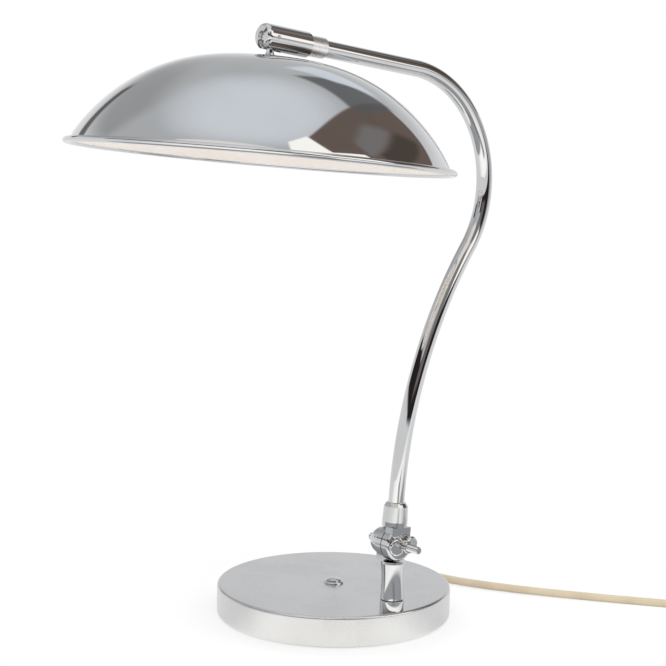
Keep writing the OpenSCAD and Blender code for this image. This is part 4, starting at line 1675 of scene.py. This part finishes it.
@dataclass(frozen=True)
class TiltJoint:
    """Clamping stud of the tilting joint.

    Attributes:
        palette: The finishes.
        joints: The frame's joints.
        stud_r: Radius of the thread.
        pitch: Of the thread.
        depth: Of the thread.
        chamfer: Length over which it runs out.
    """

    palette: Palette
    joints: Joints
    stud_r: float = 3 * MM
    pitch: float = 1.0 * MM
    depth: float = 0.45 * MM
    chamfer: float = 0.8 * MM

    def make(self) -> None:
        """Cuts the stud's thread."""
        at = self.joints.at("arm_tilt")
        low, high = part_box("hinge_stud")
        place = frame_at(tuple(at), (0, -1, 0), (0, 0, 1))
        place = place @ Matrix.Translation((0, 0, at.y - high.y))
        sizes = {
            "Radius": self.stud_r,
            "Length": high.y - low.y,
            "Pitch": self.pitch,
            "Depth": self.depth,
            "Chamfer": self.chamfer,
        }
        recipe = sheet_recipe("threaded_rod", sizes, ThreadRule())
        counts = {"Round": 49, "Along": 560}
        thread = recipe.make("stud_thread", self.palette[TUBE_CHROME], {**counts, **sizes})
        piece("stud_thread", moved(thread, place), Body.COLUMN, Slot.CHROME_TUBE, "hinge_stud")


@dataclass(frozen=True)
class Arm:
    """Bent tube from the tilting joint to the shade.

    Attributes:
        palette: The finishes.
        joints: The frame's joints.
        lean: Of its foot from upright, in degrees.
        foot: Straight stretch at the foot, from the joint.
        sweep_r: Radius of the long sweep forwards.
        sweep_a: Its angle, in degrees.
        bend_r: Radius of the bend back.
        bend_a: Its angle, in degrees.
        top: Straight stretch at the top, up to the shade's ball.
        radius: Of the tube.
        first: Where the tube starts, from the joint.
        last: Where it ends, before the ball.
    """

    palette: Palette
    joints: Joints
    lean: float = 4.2
    foot: float = 39 * MM
    sweep_r: float = 390 * MM
    sweep_a: float = 31.5
    bend_r: float = 90.5 * MM
    bend_a: float = 118.9
    top: float = 144 * MM
    radius: float = 6.5 * MM
    first: float = 16.1 * MM
    last: float = 35 * MM

    def path(self) -> list[Vector]:
        """Centreline of the tube, worked out as straights and arcs.

        Returns:
            Its points, from the foot up.
        """
        at = self.joints.at("arm_tilt")
        line: list[Vector] = []
        h = math.radians(self.lean)

        def add(px: float, pz: float) -> None:
            """Keeps one point."""
            line.append(Vector((at.x + px, at.y, at.z + pz)))

        add(self.first * math.sin(h), self.first * math.cos(h))
        x, z = self.foot * math.sin(h), self.foot * math.cos(h)
        add(x, z)
        arcs = ((self.sweep_r, self.sweep_a, 60), (-self.bend_r, self.bend_a, 110))
        for radius, angle, steps in arcs:
            cx, cz = x + radius * math.cos(h), z - radius * math.sin(h)
            start = h
            for i in range(1, steps + 1):
                h = start + math.copysign(math.radians(angle), radius) * i / steps
                add(cx - radius * math.cos(h), cz + radius * math.sin(h))
            x, z = cx - radius * math.cos(h), cz + radius * math.sin(h)
        straight = self.top - self.last
        add(x + straight * math.sin(h), z + straight * math.cos(h))
        return line

    def make(self) -> None:
        """Sweeps the tube."""
        curve = spline_curve("arm_line", self.path())
        sizes = {"Radius": self.radius, "Sides": 64}
        tube = sweep_recipe().make("arm_shell", self.palette[TUBE_CHROME], sizes, curve)
        piece("arm_shell", tube, Body.ARM, Slot.CHROME_TUBE, "arm_tube")


@dataclass(frozen=True)
class Shade:
    """Spun dome with a rolled rim, plated outside and enamelled inside.

    Attributes:
        palette: The finishes.
        joints: The frame's joints.
        radius: Of the dome at its mouth.
        depth: Of the dome.
        crown: Power of its flat top.
        flank: Power of its steep side.
        sheet: Thickness of the sheet.
        rim: Radius of the rolled rim's bead.
        rim_out: How far the bead's middle lies outside the mouth.
        lean: Of the shade's axis, in degrees.
        stem: From the ball's middle to the crown.
        hole: Radius of the hole for the stem.
        ribs: Sizes of the grip ribs round the lampholder.
        ribs_down: How far they sit below its middle.
    """

    palette: Palette
    joints: Joints
    radius: float = 139.5 * MM
    depth: float = 73 * MM
    crown: float = 2.55
    flank: float = 1.2
    sheet: float = 1.0 * MM
    rim: float = 2.3 * MM
    rim_out: float = 2.1 * MM
    lean: float = 5.2
    stem: float = 14.4 * MM
    hole: float = 4.0 * MM
    ribs: tuple[tuple[str, float], ...] = (
        ("Count", 30),
        ("Radius", 17.9 * MM),
        ("Deep", 1.6 * MM),
        ("Wide", 1.3 * MM),
        ("High", 17 * MM),
    )
    ribs_down: float = 1 * MM

    def place(self) -> Matrix:
        """Where the shade stands.

        Returns:
            A placing in the middle of the rim's plane, with Z up the shade's axis.
        """
        a = math.radians(self.lean)
        up = Vector((math.sin(a), 0, math.cos(a)))
        at = self.joints.at("shade_tilt") - up * (self.stem + self.depth)
        return frame_at(tuple(at), tuple(up))

    def make(self) -> None:
        """Builds the skin, the lining, the rim and the lampholder's ribs."""
        place = self.place()
        bends = {"Crown": self.crown, "Flank": self.flank, "Hole": self.hole}
        usual = {"Radius": self.radius, "Depth": self.depth, **bends}
        recipe = sheet_recipe("spun_dome", usual, DomeRule())
        faces: dict[str, float] = {"Round": 257, "Along": 97, **bends}
        skin, lining = (
            recipe.make(
                name,
                self.palette[finish],
                {**faces, "Radius": self.radius - inset, "Depth": self.depth - inset},
            )
            for name, finish, inset in (
                ("shade_skin", SHADE_CHROME, 0.0), ("shade_lining", ENAMEL, self.sheet),
            )
        )
        shell = self._join(skin, lining, place)
        piece("shade_shell", shell, Body.SHADE, Slot.CHROME_SHADE, "shade")
        loop = arc((self.radius + self.rim_out, 0), self.rim, 0, 360, 32)[:-1]
        rim = turn(loop, place, "shade_rim", self.palette[SHADE_CHROME], 256, closed=True)
        piece("shade_rim", rim, Body.SHADE, Slot.CHROME_SHADE)
        self._grip(place)

    def _grip(self, place: Matrix) -> None:
        """Ribs round the lampholder, for the fingers that turn it.

        Args:
            place: Where the shade stands.
        """
        low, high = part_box("holder_body")
        middle = place.inverted() @ ((low + high) / 2)
        ribs = ring_recipe().make("holder_ribs", self.palette[CREAM], dict(self.ribs))
        put = place @ Matrix.Translation((0, 0, middle.z - self.ribs_down))
        piece("holder_ribs", moved(ribs, put), Body.SHADE, Slot.CREAM)

    def _join(self, skin: bpy.types.Mesh, lining: bpy.types.Mesh, place: Matrix) -> bpy.types.Mesh:
        """Skin outside, lining inside, closed at the rim and at the hole.

        Args:
            skin: The plated dome.
            lining: The enamelled dome.
            place: Where they stand.

        Returns:
            One closed mesh with both materials.
        """
        work = bmesh.new()
        for index, mesh in enumerate((skin, lining)):
            before = len(work.faces)
            work.from_mesh(mesh)
            work.faces.ensure_lookup_table()
            for face in work.faces[before:]:
                face.material_index = index
                face.smooth = True
        for at_rim in (True, False):
            loops = [self._edge_loop(work, at_rim, index) for index in (0, 1)]
            bridge(work, *loops)
        bmesh.ops.recalc_face_normals(work, faces=work.faces)
        mesh = bpy.data.meshes.new("shade_shell")
        work.transform(place)
        work.to_mesh(mesh)
        work.free()
        mesh.materials.append(self.palette[SHADE_CHROME])
        mesh.materials.append(self.palette[ENAMEL])
        return mesh

    def _edge_loop(
        self, work: bmesh.types.BMesh, at_rim: bool, index: int
    ) -> list[bmesh.types.BMVert]:
        """An open edge of the skin or the lining, in order round the shade.

        Args:
            work: Both domes.
            at_rim: The rim's edge, or the hole's.
            index: 0 for the skin, 1 for the lining.

        Returns:
            Its points.
        """
        found = [
            v
            for v in work.verts
            if v.is_boundary
            and (v.co.xy.length > self.radius / 2) == at_rim
            and v.link_faces[0].material_index == index
        ]
        return sorted(found, key=lambda v: math.atan2(v.co.y, v.co.x))


NODE_FINISHES: dict[Finish, tuple[str, ...]] = {
    BASE_CHROME: ("base_cover",),
    IRON: ("base_weight",),
    ZINC: (
        "base_plate", "base_screws", "switch_nut", "clamp_screws", "column_pipe",
        "pipe_washer", "pipe_nut", "pipe_ring", "stop_pin", "lock_washer",
        "socket_screw", "sleeve_screw", "spring_washers", "shade_nut",
    ),
    FELT: ("base_felt",),
    TUBE_CHROME: ("switch_button", "stud_nut", "swivel_sleeve", "pivot_screws", "shade_stem"),
    SATIN_CHROME: ("arm_collar",),
    CAST_CHROME: ("column_head", "arm_socket", "wing_nut"),
    BLACK: ("switch_body",),
    CREAM: ("cord_clamp", "ball_seat", "holder_cap", "holder_body", "holder_block"),
    LEAD: ("supply_lead", "lamp_lead", "arm_lead"),
    FIBRE: ("swivel_washer", "friction_washer"),
    BRASS: ("holder_shell", "holder_contact", "plug_pins"),
}


def dress_nodes(nodes: dict[str, bpy.types.Object], palette: Palette) -> None:
    """Gives each CAD node that stays its finish.

    Args:
        nodes: The frame's objects, by name.
        palette: The finishes.
    """
    for finish, names in NODE_FINISHES.items():
        for name in names:
            for slot in nodes[name].material_slots:
                slot.link = "OBJECT"
                slot.material = palette[finish]
            log.info("%s wears %s", name, finish.name)


def corners(box: tuple[Vector, Vector]) -> list[list[float]]:
    """A box as plain numbers."""
    return [list(corner) for corner in box]


def main() -> None:
    """Builds the camera, the cord, the lamp and the studio, in that order."""
    logging.basicConfig(level=logging.INFO, format="%(name)s: %(message)s")
    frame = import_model()
    cad_box = corners(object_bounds())
    bpy.context.scene.view_settings.view_transform = "Standard"
    palette = Palette()
    joints = Joints.read(frame["joints"])
    Viewpoint().make(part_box("base_cover")[1].z)
    CordRun(palette).make()
    Base(palette).make()
    for part in (Column, TiltJoint, Arm, Shade):
        part(palette, joints).make()
    dress_nodes(frame["nodes"], palette)
    for part in STUDIO:
        part.make()
    {"cad": cad_box, "visual": corners(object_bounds())}


if __name__ == "__main__":
    main()
